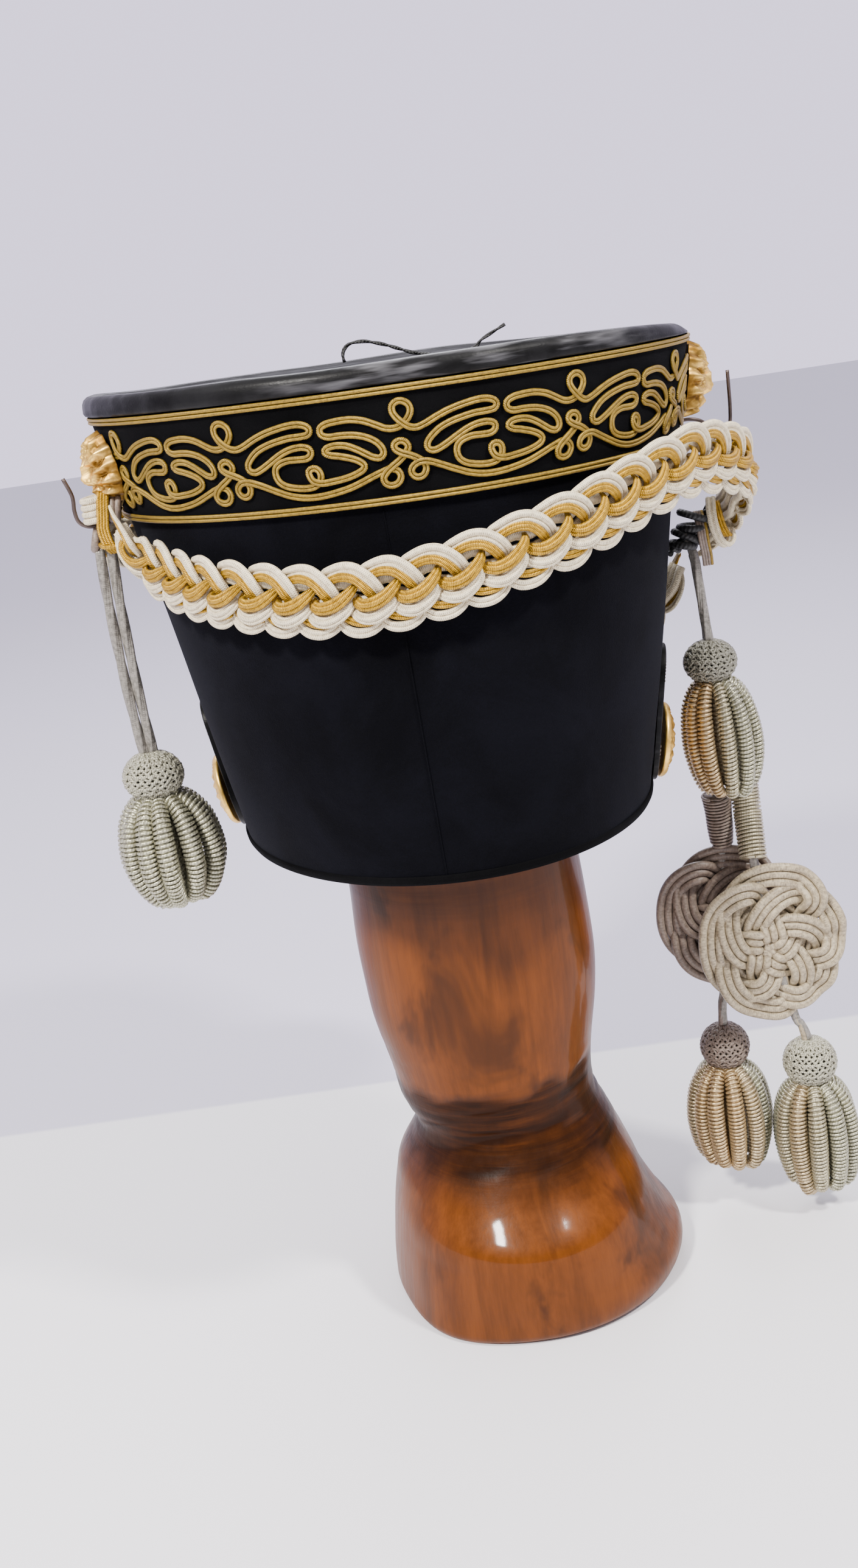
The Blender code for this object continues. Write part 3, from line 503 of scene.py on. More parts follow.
def felt_finish(name, dark, light, fibre, roughness, sheen):
    """Felt or velvet: a fine nap over broad patches of wear."""
    material, tree, sockets = finish_base(
        name, Sheen_Weight=sheen, Sheen_Roughness=0.45, Sheen_Tint=(0.55, 0.58, 0.75),
        Specular_IOR_Level=0.05)
    wear = use_effect(tree, "uneven_wear", {"Scale": 22.0, "Low": 0.35, "High": 0.70})
    nap = speckle(tree, object_spot(tree), fibre, 4.0, 0.7)
    tone = sums(tree, "MULTIPLY_ADD", wear["Patches"], 0.45, sums(tree, "MULTIPLY", nap, 0.7))
    paint(tree, sockets, blend_colour(tree, between(tree, tone, 0.25, 0.85), dark, light),
          between(tree, nap, 0.2, 0.8, roughness, 1.0))
    relief(tree, sockets, nap, 0.55, 0.0006)
    return material


# a painted highlight in streaks on the leather: where it starts and where it is full in X, and its
# colour
HIGHLIGHT_STREAK_FROM, HIGHLIGHT_STREAK_TO = (-0.075, -0.02), (0.10, 0.05)  # in X: where it starts and where it is full
PAINTED_HIGHLIGHT_COLOUR = (0.110, 0.109, 0.118)


def leather_finish(name, dark, light, grain, roughness, streak=0.0):
    """Creased, grained leather. Streak is how strongly it is brushed, and such leather also has
    pale streaks painted across its middle as a highlight."""
    material, tree, sockets = finish_base(name, Specular_IOR_Level=0.10)
    skin = use_effect(tree, "leather_grain", {"Scale": grain})
    wear = use_effect(tree, "uneven_wear", {"Scale": 30.0, "Low": 0.42, "High": 0.70})
    tone = sums(tree, "MULTIPLY_ADD", skin["Creases"], 0.4,
                sums(tree, "MULTIPLY", wear["Patches"], 0.6))
    colour, height = blend_colour(tree, tone, dark, light), skin["Height"]
    if streak:
        where = object_spot(tree)
        across = place(tree, "SeparateXYZ", {0: where}).outputs[0]
        reach = sums(tree, "MULTIPLY", between(tree, across, *HIGHLIGHT_STREAK_FROM),
                     between(tree, across, *HIGHLIGHT_STREAK_TO))
        # pale streaks painted on as a highlight, drawn out round the hat
        highlight_streaks = speckle(tree, drawn_out(tree, where, 1.0, 1.0, 9.0), 34.0, 3.0, 0.5)
        amount = sums(tree, "MULTIPLY", reach, between(tree, highlight_streaks, 0.44, 0.72, 0.0, 0.9))
        colour = blend_colour(tree, amount, colour, PAINTED_HIGHLIGHT_COLOUR)
        brushed = speckle(tree, drawn_out(tree, where, 1.0, 1.0, 6.0), 75.0, 4.0, 0.6, 0.3)
        height = sums(tree, "MULTIPLY_ADD", brushed, streak, height)
    paint(tree, sockets, colour, between(tree, tone, 0.0, 1.0, roughness + 0.12, roughness - 0.08))
    relief(tree, sockets, height, 0.16, 0.0004)
    return material


def metal_finish(name, dark, light, roughness):
    """Gilt or wire: brighter where it is proud, by the piece's own relief attribute."""
    material, tree, sockets = finish_base(name, Metallic=1.0)
    proud = place(tree, "Attribute", attribute_name="proud").outputs["Fac"]
    wear = use_effect(tree, "uneven_wear", {"Scale": 160.0, "Low": 0.35, "High": 0.70})
    tone = sums(tree, "MULTIPLY_ADD", wear["Patches"], 0.5, between(tree, proud, 0.0, 1.0))
    tone = between(tree, tone, 0.15, 1.0)
    paint(tree, sockets, blend_colour(tree, tone, dark, light),
          between(tree, wear["Patches"], 0.0, 1.0, roughness + 0.15, roughness - 0.05))
    relief(tree, sockets, wear["Specks"], 0.12, 0.0002)
    return material


def wood_finish(name):
    """Varnished carved wood: upright grain, dark patches and tool cuts darkened by staining, under
    a coat; the same attribute also darkens the wood as painted shade under the hat.
    """
    material, tree, sockets = finish_base(name, Coat_Roughness=0.09, Specular_IOR_Level=0.05)
    where = object_spot(tree)
    upright = drawn_out(tree, where, 1.0, 1.0, 0.10)
    fine = speckle(tree, upright, 420.0, 5.0, 0.65)
    streak = speckle(tree, upright, 85.0, 5.0, 0.6, 0.5)
    cloud = speckle(tree, drawn_out(tree, where, 1.0, 1.0, 0.55), 24.0, 4.0, 0.6, 0.8)
    tone = sums(tree, "MULTIPLY_ADD", streak, 0.75,
                sums(tree, "MULTIPLY_ADD", fine, 0.35, sums(tree, "MULTIPLY", cloud, 0.45)))
    colour = blend_colour(tree, between(tree, tone, 0.34, 1.12),
                          (0.048, 0.0130, 0.0012), (0.152, 0.041, 0.0050))
    dark_patch = sums(tree, "MULTIPLY", between(tree, cloud, 0.52, 0.70), 0.78)
    colour = blend_colour(tree, dark_patch, colour, (0.028, 0.008, 0.001))
    # one attribute: the waist's staining and the painted shade under the hat's brim
    stain_and_shade = place(tree, "Attribute", attribute_name="stain_and_shade").outputs["Fac"]
    cuts = speckle(tree, drawn_out(tree, where, 0.30, 0.30, 4.0), 70.0, 4.0, 0.6, 0.3)
    stain_and_shade_amount = sums(tree, "MULTIPLY", stain_and_shade, between(tree, cuts, 0.25, 0.60, 0.72, 1.0))
    paint(tree, sockets, blend_colour(tree, stain_and_shade_amount, colour, (0.013, 0.0042, 0.0015)),
          between(tree, fine, 0.2, 0.8, 0.30, 0.45))
    tree.links.new(between(tree, stain_and_shade, 0.55, 1.0, 0.19, 0.05), sockets["Coat Weight"])
    rough_cuts = sums(tree, "MULTIPLY", cuts, stain_and_shade)
    relief(tree, sockets, sums(tree, "MULTIPLY_ADD", rough_cuts, 1.6, fine), 0.16, 0.0007)
    return material


make_effects()
# the finish of each kind of piece, and the record's slot that it is
FINISHES = {
    "felt": (felt_finish("black_felt", (0.0007, 0.0007, 0.0013), (0.0026, 0.0027, 0.0047),
                         1500.0, 0.86, 0.02), "black_felt"),
    "velvet": (felt_finish("black_velvet", (0.0008, 0.0008, 0.0010), (0.003, 0.003, 0.0035),
                           2400.0, 0.90, 0.01), "black_velvet"),
    "leather": (leather_finish("black_leather", (0.0008, 0.0008, 0.0008), (0.011, 0.011, 0.012),
                               700.0, 0.36, 2.2), "black_leather"),
    "rim": (leather_finish("rim_leather", (0.002, 0.002, 0.0024), (0.006, 0.006, 0.007),
                           1500.0, 0.70), "black_leather"),
    "braid": (cord_finish("gold_braid", (0.075, 0.041, 0.004), (0.37, 0.238, 0.024), 2400.0, 2.0,
                          0.40, 0.45, strength=0.4), "gold_braid"),
    "gold": (cord_finish("gold_cord", (0.13, 0.062, 0.002), (0.62, 0.355, 0.011), 1700.0, 2.0,
                         0.38, 0.45, strength=0.6), "white_gold_cord"),
    "white": (cord_finish("white_cord", (0.27, 0.215, 0.135), (0.80, 0.70, 0.50), 1500.0, 3.0,
                          0.50, plaited=True), "white_gold_cord"),
    "grey": (cord_finish("silver_grey_cord", (0.085, 0.078, 0.064), (0.285, 0.265, 0.235), 1400.0,
                         1.0, 0.40, 0.20, plaited=True, strength=0.16, groove_shade=0.16),
             "silver_grey_cord"),
    "cream": (cord_finish("cream_cord", (0.155, 0.122, 0.078), (0.44, 0.365, 0.245), 1400.0, 2.0,
                          0.44, plaited=True, strength=0.14, groove_shade=0.12), "cream_cord"),
    # a light brown cord; also the cream cord of the back flounder, its shank, stem and small
    # tassel, painted darker as the front flounder's shadow, and browner
    "tan": (cord_finish("tan_and_shaded_cream_cord", (0.105, 0.078, 0.059), (0.25, 0.190, 0.152), 1400.0, 2.0,
                        0.46, plaited=True, strength=0.12, groove_shade=0.08), "cream_cord"),
    # bullion: its coils turn towards a warm colour painted on as a glow, as far as their tone says
    "bullion": (cord_finish("silver_bullion", (0.27, 0.26, 0.185), (0.50, 0.485, 0.36), 900.0, 1.0,
                            0.34, 0.70, strength=0.2, painted_light=(0.45, 0.33, 0.18)), "silver_bullion"),
    # netting: the dark colour that its tone turns it to is painted shade
    "netting": (cord_finish("silver_netting", (0.17, 0.160, 0.118), (0.49, 0.475, 0.365), 900.0,
                            2.0, 0.42, 0.25, strength=0.4, painted_light=(0.10, 0.095, 0.080)),
                "silver_bullion"),
    # a near-black core seen through the nets' holes, as painted shade
    "net_hole_shade": (cord_finish("net_hole_shade_core", (0.012, 0.012, 0.008), (0.05, 0.048, 0.034), 900.0, 2.0,
                           0.7), "silver_bullion"),
    "gilt": (metal_finish("gilt_metal", (0.20, 0.100, 0.016), (0.95, 0.62, 0.16), 0.36),
             "gilt_metal"),
    "wire": (metal_finish("dark_wire", (0.04, 0.032, 0.03), (0.13, 0.10, 0.09), 0.42),
             "dark_wire"),
    "black": (cord_finish("black_cord", (0.002, 0.002, 0.002), (0.010, 0.010, 0.011), 700.0, 2.0,
                          0.6, strength=0.6), "black_cord"),
    "wood": (wood_finish("varnished_wood"), "varnished_wood"),
}


# ---- making pieces ------------------------------------------------------------------------------


def put_in_scene(name, data):
    """A new object at the origin."""
    made = bpy.data.objects.new(name, data)
    bpy.context.scene.collection.objects.link(made)
    return made


def keep_values(mesh, name, values):
    """Stores a number at each vertex, for the finish to read."""
    mesh.attributes.new(name, "FLOAT", "POINT").data.foreach_set("value", values)


def piece(name, bm, finish, nodes=(), sharp=None, merge=True):
    """Turns a bmesh into a piece of the object that rides on the body and may stand for nodes.
    Without merge, its vertices stay as they are numbered, for the values that they will keep."""
    if merge:
        bmesh.ops.remove_doubles(bm, verts=bm.verts, dist=1e-7)
        bmesh.ops.recalc_face_normals(bm, faces=bm.faces)
    mesh = bpy.data.meshes.new(name)
    bm.to_mesh(mesh)
    bm.free()
    mesh.shade_smooth()
    if sharp:
        mesh.set_sharp_from_angle(angle=math.radians(sharp))
    obj = put_in_scene(name, mesh)
    material, slot = FINISHES[finish]
    mesh.materials.append(material)
    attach(obj, "root")
    if nodes:
        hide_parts(*nodes)
    return obj


def curve_through(a, b, c, d, t):
    """A place between b and c on a smooth curve that comes from a and goes on to d."""
    return 0.5 * (2 * b + (c - a) * t + (2 * a - 5 * b + 4 * c - d) * t**2
                  + (3 * b - a - 3 * c + d) * t**3)


def smooth_path(points, spacing):
    """Points about a set distance apart on a smooth curve through the given ones."""
    knots = [Vector(p) for p in points]
    knots = [2 * knots[0] - knots[1], *knots, 2 * knots[-1] - knots[-2]]
    path = []
    for near in zip(knots, knots[1:], knots[2:], knots[3:]):
        steps = max(1, round((near[2] - near[1]).length / spacing))
        path += [curve_through(*near, i / steps) for i in range(steps)]
    return [*path, knots[-2]]


def path_length(path):
    return sum((b - a).length for a, b in zip(path, path[1:]))


def fade(widths, count):
    """Widths at a start, a middle and an end, eased over a number of points."""
    if isinstance(widths, float):
        return [widths] * count
    start, middle, end = widths
    eased = []
    for i in range(count):
        t = i / (count - 1)
        side, u = (start, 1 - 2 * t) if t < 0.5 else (end, 2 * t - 1)
        eased.append(middle + (side - middle) * u * u)
    return eased


def spin_cords(runs, sides=8, closed=False):
    """A bmesh of round cords, one along each run of (points, widths, tone); a width is a radius.
    The UV map counts metres along a cord and turns round it, and a tone is kept for the finish."""
    bm = bmesh.new()
    for path, widths, *tone in runs:
        curve = bpy.data.curves.new("run", "CURVE")
        curve.dimensions = "3D"
        curve.bevel_depth = 1.0
        curve.bevel_resolution = (sides - 4) // 2
        curve.use_fill_caps = not closed
        spline = curve.splines.new("POLY")
        spline.points.add(len(path) - 1)
        spline.points.foreach_set("co", [x for p in path for x in (*p, 1.0)])
        spline.points.foreach_set("radius", fade(widths, len(path))
                                  if isinstance(widths, (float, tuple)) else widths)
        spline.use_cyclic_u = closed
        holder = bpy.data.objects.new("run", curve)
        mesh = bpy.data.meshes.new_from_object(holder)
        length = path_length(path)
        flat = [0.0] * (2 * len(mesh.loops))
        uv = mesh.uv_layers[0].data
        uv.foreach_get("uv", flat)
        flat[::2] = [x * length for x in flat[::2]]
        uv.foreach_set("uv", flat)
        if tone:
            keep_values(mesh, "tone", tone * len(mesh.vertices))
        bm.from_mesh(mesh)
        bpy.data.objects.remove(holder)
        bpy.data.curves.remove(curve)
        bpy.data.meshes.remove(mesh)
    return bm


def travel_frames(path):
    """Two directions across a path at each point, carried along it without twisting."""
    tangent = (path[1] - path[0]).normalized()
    side = tangent.orthogonal().normalized()
    frames = []
    for i in range(len(path)):
        ahead, behind = path[min(i + 1, len(path) - 1)], path[max(i - 1, 0)]
        tangent = (ahead - behind).normalized()
        side = (side - tangent * side.dot(tangent)).normalized()
        frames.append((side, tangent.cross(side)))
    return frames


def wound_round(path, reach, turn_at):
    """A line wound round a path. Reach is its distance out, one or a list of one for each point,
    and turn_at gives its angle at a point's number."""
    reaches = reach if isinstance(reach, list) else [reach] * len(path)
    line = []
    for i, (middle, (side, other)) in enumerate(zip(path, travel_frames(path))):
        turn = turn_at(i)
        line.append(middle + (side * math.cos(turn) + other * math.sin(turn)) * reaches[i])
    return line


def coil_run(points, radii, pitch, thick, around):
    """A wire wound round a path like a spring, with the coil's radii along the path, the height
    of a turn, the wire's own radius, and how many points it has to a turn."""
    path = smooth_path(points, pitch / around)
    return wound_round(path, fade(radii, len(path)), lambda i: 2 * math.pi * i / around), thick


def stacked_ovals(levels, segments):
    """Extrudes a circle through levels of (half width, half depth, height, sideways offset)."""
    bm = bmesh.new()
    ring = bmesh.ops.create_circle(bm, cap_ends=False, radius=1.0, segments=segments)["verts"]
    edges = list(bm.edges)
    last = (1.0, 1.0, 0.0, 0.0)
    for number, level in enumerate(levels):
        if number:
            grown = bmesh.ops.extrude_edge_only(bm, edges=edges)["geom"]
            ring = [g for g in grown if isinstance(g, bmesh.types.BMVert)]
            new = set(ring)
            edges = [g for g in grown if isinstance(g, bmesh.types.BMEdge)
                     and g.verts[0] in new and g.verts[1] in new]
        step = (Matrix.Translation((level[3], 0, level[2]))
                @ Matrix.Diagonal((level[0] / last[0], level[1] / last[1], 1, 1))
                @ Matrix.Translation((-last[3], 0, -last[2])))
        bmesh.ops.transform(bm, matrix=step, verts=ring)
        last = level
    return bm


def close_ends(bm):
    """Closes each open end of a form with one flat face."""
    for _ in range(2):
        rim = [e for e in bm.edges if e.is_boundary]
        if not rim:
            break
        low = min(v.co.z for e in rim for v in e.verts)
        ends = [e for e in rim if abs(e.verts[0].co.z - low) < 1e-6]
        bmesh.ops.edgeloop_fill(bm, edges=ends)
    return bm


def oval_shell(profile, segments=192):
    """Carries a closed profile of (distance from the felt, height) round the hat."""
    levels = []
    for out, z in (*profile, profile[0]):
        half_x, half_y = hat_half_widths(z)
        levels.append((half_x + out, half_y + out, z, 0.0))
    bm = stacked_ovals(levels, segments)
    bmesh.ops.remove_doubles(bm, verts=bm.verts, dist=1e-6)
    return bm


# ---- camera, floor and light --------------------------------------------------------------------

CAMERA_SPOT, CAMERA_LENS, CAMERA_SENSOR = (-0.0870, -0.6640, 0.4387), 36.34, 36.0
YAW, PITCH, ROLL = math.radians(6.87), math.radians(16.4), math.radians(-8.09)
TABLE_EDGE = (0.198, 0.203)  # how far ahead the table top gives way to the floor beyond
TABLE_COLOUR, BEYOND_COLOUR = (0.795, 0.785, 0.830), (0.56, 0.54, 0.66)
ROOM_BEHIND, ROOM_AHEAD = (0.50, 0.48, 0.54), (1.50, 1.36, 1.80)
ROOM_OVERHEAD = (1.45, 1.42, 1.46)
# name, place, aimed at, size, watts, colour
LAMPS = (
    ("lamp_left", (-0.9, -1.0, 1.5), (0.0, 0.0, 0.30), 0.20, 62.0, (1.0, 0.96, 0.90)),
    ("lamp_right", (0.8, -0.9, 1.6), (0.05, 0.0, 0.25), 0.18, 42.0, (1.0, 0.97, 0.93)),
    ("lamp_back", (0.2, 1.4, 1.5), (0.0, 0.0, 0.30), 0.8, 16.0, (0.95, 0.97, 1.0)),
)


def stand_camera():
    """The camera where the photograph was taken from, as its outlines gave it."""
    forward = Vector((math.sin(YAW) * math.cos(PITCH), math.cos(YAW) * math.cos(PITCH),
                      -math.sin(PITCH)))
    level = Vector((math.cos(YAW), -math.sin(YAW), 0))
    up = level.cross(forward)
    right = level * math.cos(ROLL) + up * math.sin(ROLL)
    upright = up * math.cos(ROLL) - level * math.sin(ROLL)
    data = bpy.data.cameras.new("camera")
    data.sensor_width, data.lens = CAMERA_SENSOR, CAMERA_LENS
    data.clip_start, data.clip_end = 0.01, 20.0
    camera = put_in_scene("camera", data)
    axes = Matrix((right, upright, -forward)).transposed().to_4x4()
    camera.matrix_world = Matrix.Translation(CAMERA_SPOT) @ axes
    bpy.context.scene.camera = camera


def lay_floor():
    """A plain pale table top, and a plain floor beyond its far edge."""
    bm = bmesh.new()
    bmesh.ops.create_grid(bm, x_segments=2, y_segments=2, size=6.0)
    mesh = bpy.data.meshes.new("floor")
    bm.to_mesh(mesh)
    bm.free()
    floor = put_in_scene("floor", mesh)
    material, tree, sockets = finish_base("pale_floor", Roughness=0.6)
    across, ahead, _ = place(tree, "SeparateXYZ", {0: object_spot(tree)}).outputs
    reach = sums(tree, "MULTIPLY_ADD", across, math.sin(YAW),
                 sums(tree, "MULTIPLY", ahead, math.cos(YAW)))
    colour = blend_colour(tree, between(tree, reach, *TABLE_EDGE), TABLE_COLOUR, BEYOND_COLOUR)
    tree.links.new(colour, sockets["Base Color"])
    mesh.materials.append(material)


def hang_lights():
    """Two soft lamps in front, one behind, and a soft room that is lightest ahead and above."""
    world = bpy.data.worlds.new("room")
    world.use_nodes = True
    tree = world.node_tree
    facing = place(tree, "TexCoord").outputs["Generated"]
    _, ahead, overhead = place(tree, "SeparateXYZ", {0: facing}).outputs
    ahead = between(tree, ahead, -0.45, 0.55)
    overhead = between(tree, overhead, 0.25, 0.95)
    walls = blend_colour(tree, ahead, ROOM_BEHIND, ROOM_AHEAD)
    tree.links.new(blend_colour(tree, overhead, walls, ROOM_OVERHEAD),
                   tree.nodes["Background"].inputs["Color"])
    bpy.context.scene.world = world
    for name, spot, aim, size, watts, colour in LAMPS:
        data = bpy.data.lights.new(name, "AREA")
        data.size, data.energy, data.color = size, watts, colour
        lamp = put_in_scene(name, data)
        lamp.location = spot
        lamp.rotation_euler = (Vector(aim) - Vector(spot)).to_track_quat("-Z", "Y").to_euler()


stand_camera()
lay_floor()
hang_lights()


# ---- cords and tassels --------------------------------------------------------------------------


ROPE_CORE, ROPE_THREADS, ROPE_LAY = 0.90, 4, 0.090  # share of the radius, count, length of a turn
ROPE_THREAD_OUT, ROPE_THREAD = 0.58, 0.46  # shares of the radius


def ridged_cord(path, radius, finish, name, nodes):
    """A smooth cord of a few long threads that wind slowly round a core."""
    step = path_length(path) / (len(path) - 1)
    runs = [(path, radius * ROPE_CORE)]
    for k in range(ROPE_THREADS):
        run = wound_round(path, radius * ROPE_THREAD_OUT,
                          lambda i: 2 * math.pi * (k / ROPE_THREADS + i * step / ROPE_LAY))
        runs.append((run, radius * ROPE_THREAD))
    return piece(name, spin_cords(runs, sides=8), finish, nodes)


def hang_cords():
    """The free cords, each one smooth line that runs on into what it carries."""
    hung = {}
    table = (
        ("left_outer", CORD_LEFT_OUTER, ("cord_left_outer",)),
        ("left_inner", CORD_LEFT_INNER, ("cord_left_inner",)),
        ("right", CORD_RIGHT, ("cord_right",)),
        ("flounder_front", CORD_FLOUNDER_FRONT, ("cord_flounder_front", "stem_front")),
        ("flounder_back", CORD_FLOUNDER_BACK, ("cord_flounder_back", "stem_back")),
    )
    for name, points, nodes in table:
        path = smooth_path(points, CORD_STEP)
        hung[name] = (ridged_cord(path, CORD_RADIUS, "grey", f"hanging_cord_{name}", nodes), path)
    return hung


def ball_point(top, radius, length, down, turn, out=0.0):
    """A point on a tassel's ball; down is an angle from its top, in radians."""
    reach = (radius + out) * math.sin(down)
    return Vector((top.x + reach * math.cos(turn), top.y + reach * math.sin(turn),
                   top.z - length / 2 + (length / 2 + out) * math.cos(down)))


NET_WAYS, NET_ROWS, NET_THREAD, NET_STEPS = 24, 11, 0.00060, 36
NET_SLANT, NET_WEAVE = 0.95, 0.00040  # turn for each turn down, and the rise over and under


def netted_ball(name, top, radius, length, finish, shade):
    """A ball under a close net of looped thread, over a near-black core that stands in for the
    shade in the net's holes; shade is how far the thread is darkened as painted shade, kept as its
    tone.
    """
    runs = []
    for lean in (1, -1):
        for k in range(NET_WAYS):
            run = []
            for i in range(NET_STEPS + 1):
                down = math.radians(8 + 164 * i / NET_STEPS)
                turn = 2 * math.pi * k / NET_WAYS + lean * down * NET_SLANT
                weave = NET_WEAVE * math.cos(NET_ROWS * down + k * math.pi + (lean > 0) * math.pi)
                run.append(ball_point(top, radius - 0.0007, length - 0.0014, down, turn, weave))
            runs.append((run, NET_THREAD, shade))
    for row in range(NET_ROWS):
        down = math.radians(16 + 148 * row / (NET_ROWS - 1))
        ring = []
        count = 3 * max(8, round(NET_WAYS * math.sin(down)))
        for i in range(count + 1):
            turn = 2 * math.pi * i / count
            wave = down + 0.055 * math.cos(turn * count / 3)
            ring.append(ball_point(top, radius - 0.0005, length - 0.0010, wave, turn,
                                   0.00025 * math.sin(turn * count / 3)))
        runs.append((ring, NET_THREAD * 1.15, shade))
    net = piece(f"{name}_ball_net", spin_cords(runs, sides=6), finish, (name,))
    # the dark core: painted shade in the net's holes
    core = bmesh.new()
    bmesh.ops.create_uvsphere(core, u_segments=48, v_segments=32, radius=1.0)
    bmesh.ops.scale(core, verts=core.verts,
                    vec=(radius - 0.0016, radius - 0.0016, length / 2 - 0.0016))
    bmesh.ops.translate(core, verts=core.verts, vec=top - Vector((0, 0, length / 2)))
    return net, piece(f"{name}_ball_shade_core", core, "net_hole_shade", (name,))


BULLION_PITCH, BULLION_WIRE = 0.00178, 0.00072
SHANK_PITCH, SHANK_WIRE = 0.00165, 0.00066


def bullion_skirt(name, top, bottom, ball_length, radius, coil, coils, fullness, painted_light,
                  painted_light_side):
    """Coils of bullion hung round a ring, each one a wire wound like a spring."""
    neck = top.lerp(bottom, ball_length * 0.93 / (top - bottom).length)
    fall = bottom - neck
    # way out from the axis, way down
    outer = ((0.22, -0.02), (0.60, 0.05), (0.86, 0.20), (0.98, 0.42), (0.99, 0.62),
             (0.5 * (0.99 + fullness), 0.83), (fullness * 0.94, 0.95), (fullness * 0.66, 0.975))
    inner = ((0.10, 0.0), (0.30, 0.12), (0.46, 0.40), (0.48, 0.75), (0.38, 0.93))
    runs = []
    for shape, count, phase in ((outer, coils, 0.0), (inner, coils // 2, 0.4)):
        for k in range(count):
            turn = 2 * math.pi * (k + phase + seeded.uniform(-0.12, 0.12)) / count
            wide = (radius - coil) * seeded.uniform(0.93, 1.02)
            long = seeded.uniform(0.93, 1.0)
            sway = seeded.uniform(-0.14, 0.14)
            # coils on one side get a painted warm glow, kept as their tone
            toward = math.cos(turn + math.pi / 2 - math.radians(painted_light_side))
            tone = (toward - math.cos(math.pi * painted_light)) * 1.5 + 0.5 + seeded.uniform(-0.2, 0.2)
            tone = within(tone) if painted_light else 0.0
            points = []
            for out, down in shape:
                spread = turn + sway * down
                points.append(neck + fall * down * long
                              + Vector((math.cos(spread), math.sin(spread), 0)) * wide * out)
            runs.append((smooth_path(points, 0.002), (coil * 0.58, coil * 0.93, coil * 0.66), tone))
            widest = coil * (0.8 if shape is inner else 1.02)
            runs.append((*coil_run(points, (coil * 0.62, widest, coil * 0.72), BULLION_PITCH,
                                   BULLION_WIRE, 12), tone))
    return piece(f"{name}_skirt", spin_cords(runs, sides=6), "bullion", (name,))


def hang_tassels():
    """The four tassels: a netted ball over a dark core, painted shade in its holes, and a skirt of
    bullion.
    """
    hung = {}
    for name, top, bottom, ball_radius, ball_length, *skirt in TASSELS:
        top, bottom = Vector(top), Vector(bottom)
        # the back small tassel's net is darker than the others as painted shade, and browner
        thread = "tan" if name == "tassel_flounder_back" else "netting"
        # the right ball's thread is darkened most, as painted shade
        shade = 0.60 if name == "tassel_right" else 0.05
        hung[name] = (
            *netted_ball(name, top, ball_radius, ball_length, thread, shade),
            bullion_skirt(name, top, bottom, ball_length, *skirt),
        )
    return hung


MAT_LEADS, MAT_BIGHTS = 4, 5
MAT_LOBES = (166.0, 263.0, 315.0, 363.0, 426.0)  # where the loops at the rim stand, in degrees
MAT_CORD, MAT_LIFT = 0.00195, 0.00290
MAT_MIDDLE = (-0.10, -0.12)  # how far the weave's own middle lies from the mat's
MAT_REACH, MAT_SWING, MAT_FIRST_LOBE = 0.480, 0.360, 14  # shares of the mat's radius; degrees
MAT_STEPS, MAT_LANE = 720, 1.93  # points along the line; radii between the cords side by side
# the cord coiled flat behind the weave: its turns, points, share of the mat's radius, and depth
MAT_COIL_TURNS, MAT_COIL_STEPS, MAT_COIL_REACH, MAT_COIL_DEPTH = 6, 259, 0.62, 0.0030


def lobe_turn(turn):
    """Spreads the rim loops unevenly, as they are tied; a smooth line through their places."""
    count = len(MAT_LOBES)
    share = turn / (2 * math.pi) * count
    k = math.floor(share)
    spots = [MAT_LOBES[(k + j) % count] + 360 * ((k + j) // count) for j in (-1, 0, 1, 2)]
    return math.radians(curve_through(*spots, share - k))


def mat_line(steps):
    """The closed line of a flat woven knot in a unit disc, with its rise over and under."""
    line = []
    for i in range(steps):
        turn = 2 * math.pi * MAT_LEADS * i / steps
        phase = MAT_BIGHTS * turn / MAT_LEADS
        swing = math.cos(phase)
        reach = MAT_REACH + MAT_SWING * swing * (1.22 - 0.22 * swing * swing)
        even = math.radians(MAT_LOBES[0] + MAT_FIRST_LOBE) + turn
        spot = even + (lobe_turn(turn) - even) * min(1.0, (reach / (MAT_REACH + MAT_SWING)) ** 2)
        rise = math.cos(MAT_LEADS * phase) * math.tanh(3.5 * math.sin(phase))
        shift = 1 - reach
        line.append((reach * math.cos(spot) + MAT_MIDDLE[0] * shift,
                     reach * math.sin(spot) + MAT_MIDDLE[1] * shift, rise))
    return line


def woven_flounder(name, middle, half_width, half_height, azimuth, finish):
    """A round mat of three cords side by side, woven over and under."""
    line = mat_line(MAT_STEPS)
    count = len(line)
    facing = (Matrix.Translation(middle) @ Matrix.Rotation(math.radians(azimuth), 4, "Z")
              @ Matrix.Rotation(math.radians(90), 4, "X"))
    flat = [Vector((x * half_width, y * half_height, 0)) for x, y, _ in line]
    runs = []
    for lane in (-1, 0, 1):
        run = []
        for i, spot in enumerate(flat):
            ahead, behind = flat[(i + 1) % count], flat[i - 1]
            tangent = (ahead - behind).normalized()
            across = Vector((-tangent.y, tangent.x, 0))
            lift = line[i][2] * MAT_LIFT + 0.0004 * abs(lane)
            run.append(facing @ (spot + across * lane * MAT_CORD * MAT_LANE
                                 + Vector((0, 0, lift))))
        runs.append((run, MAT_CORD))
    coiled = []  # it shows through the gaps in the weave
    for i in range(MAT_COIL_STEPS + 1):
        reach = MAT_COIL_REACH * i / MAT_COIL_STEPS
        turn = 2 * math.pi * MAT_COIL_TURNS * i / MAT_COIL_STEPS
        coiled.append(facing @ Vector((reach * half_width * math.cos(turn),
                                       reach * half_height * math.sin(turn), -MAT_COIL_DEPTH)))
    behind = spin_cords([(coiled, MAT_CORD)], sides=8)
    behind_mesh = bpy.data.meshes.new("behind")
    behind.to_mesh(behind_mesh)
    behind.free()
    mat = spin_cords(runs, sides=10, closed=True)
    mat.from_mesh(behind_mesh)
    bpy.data.meshes.remove(behind_mesh)
    return piece(name + "_mat", mat, finish, (name,))


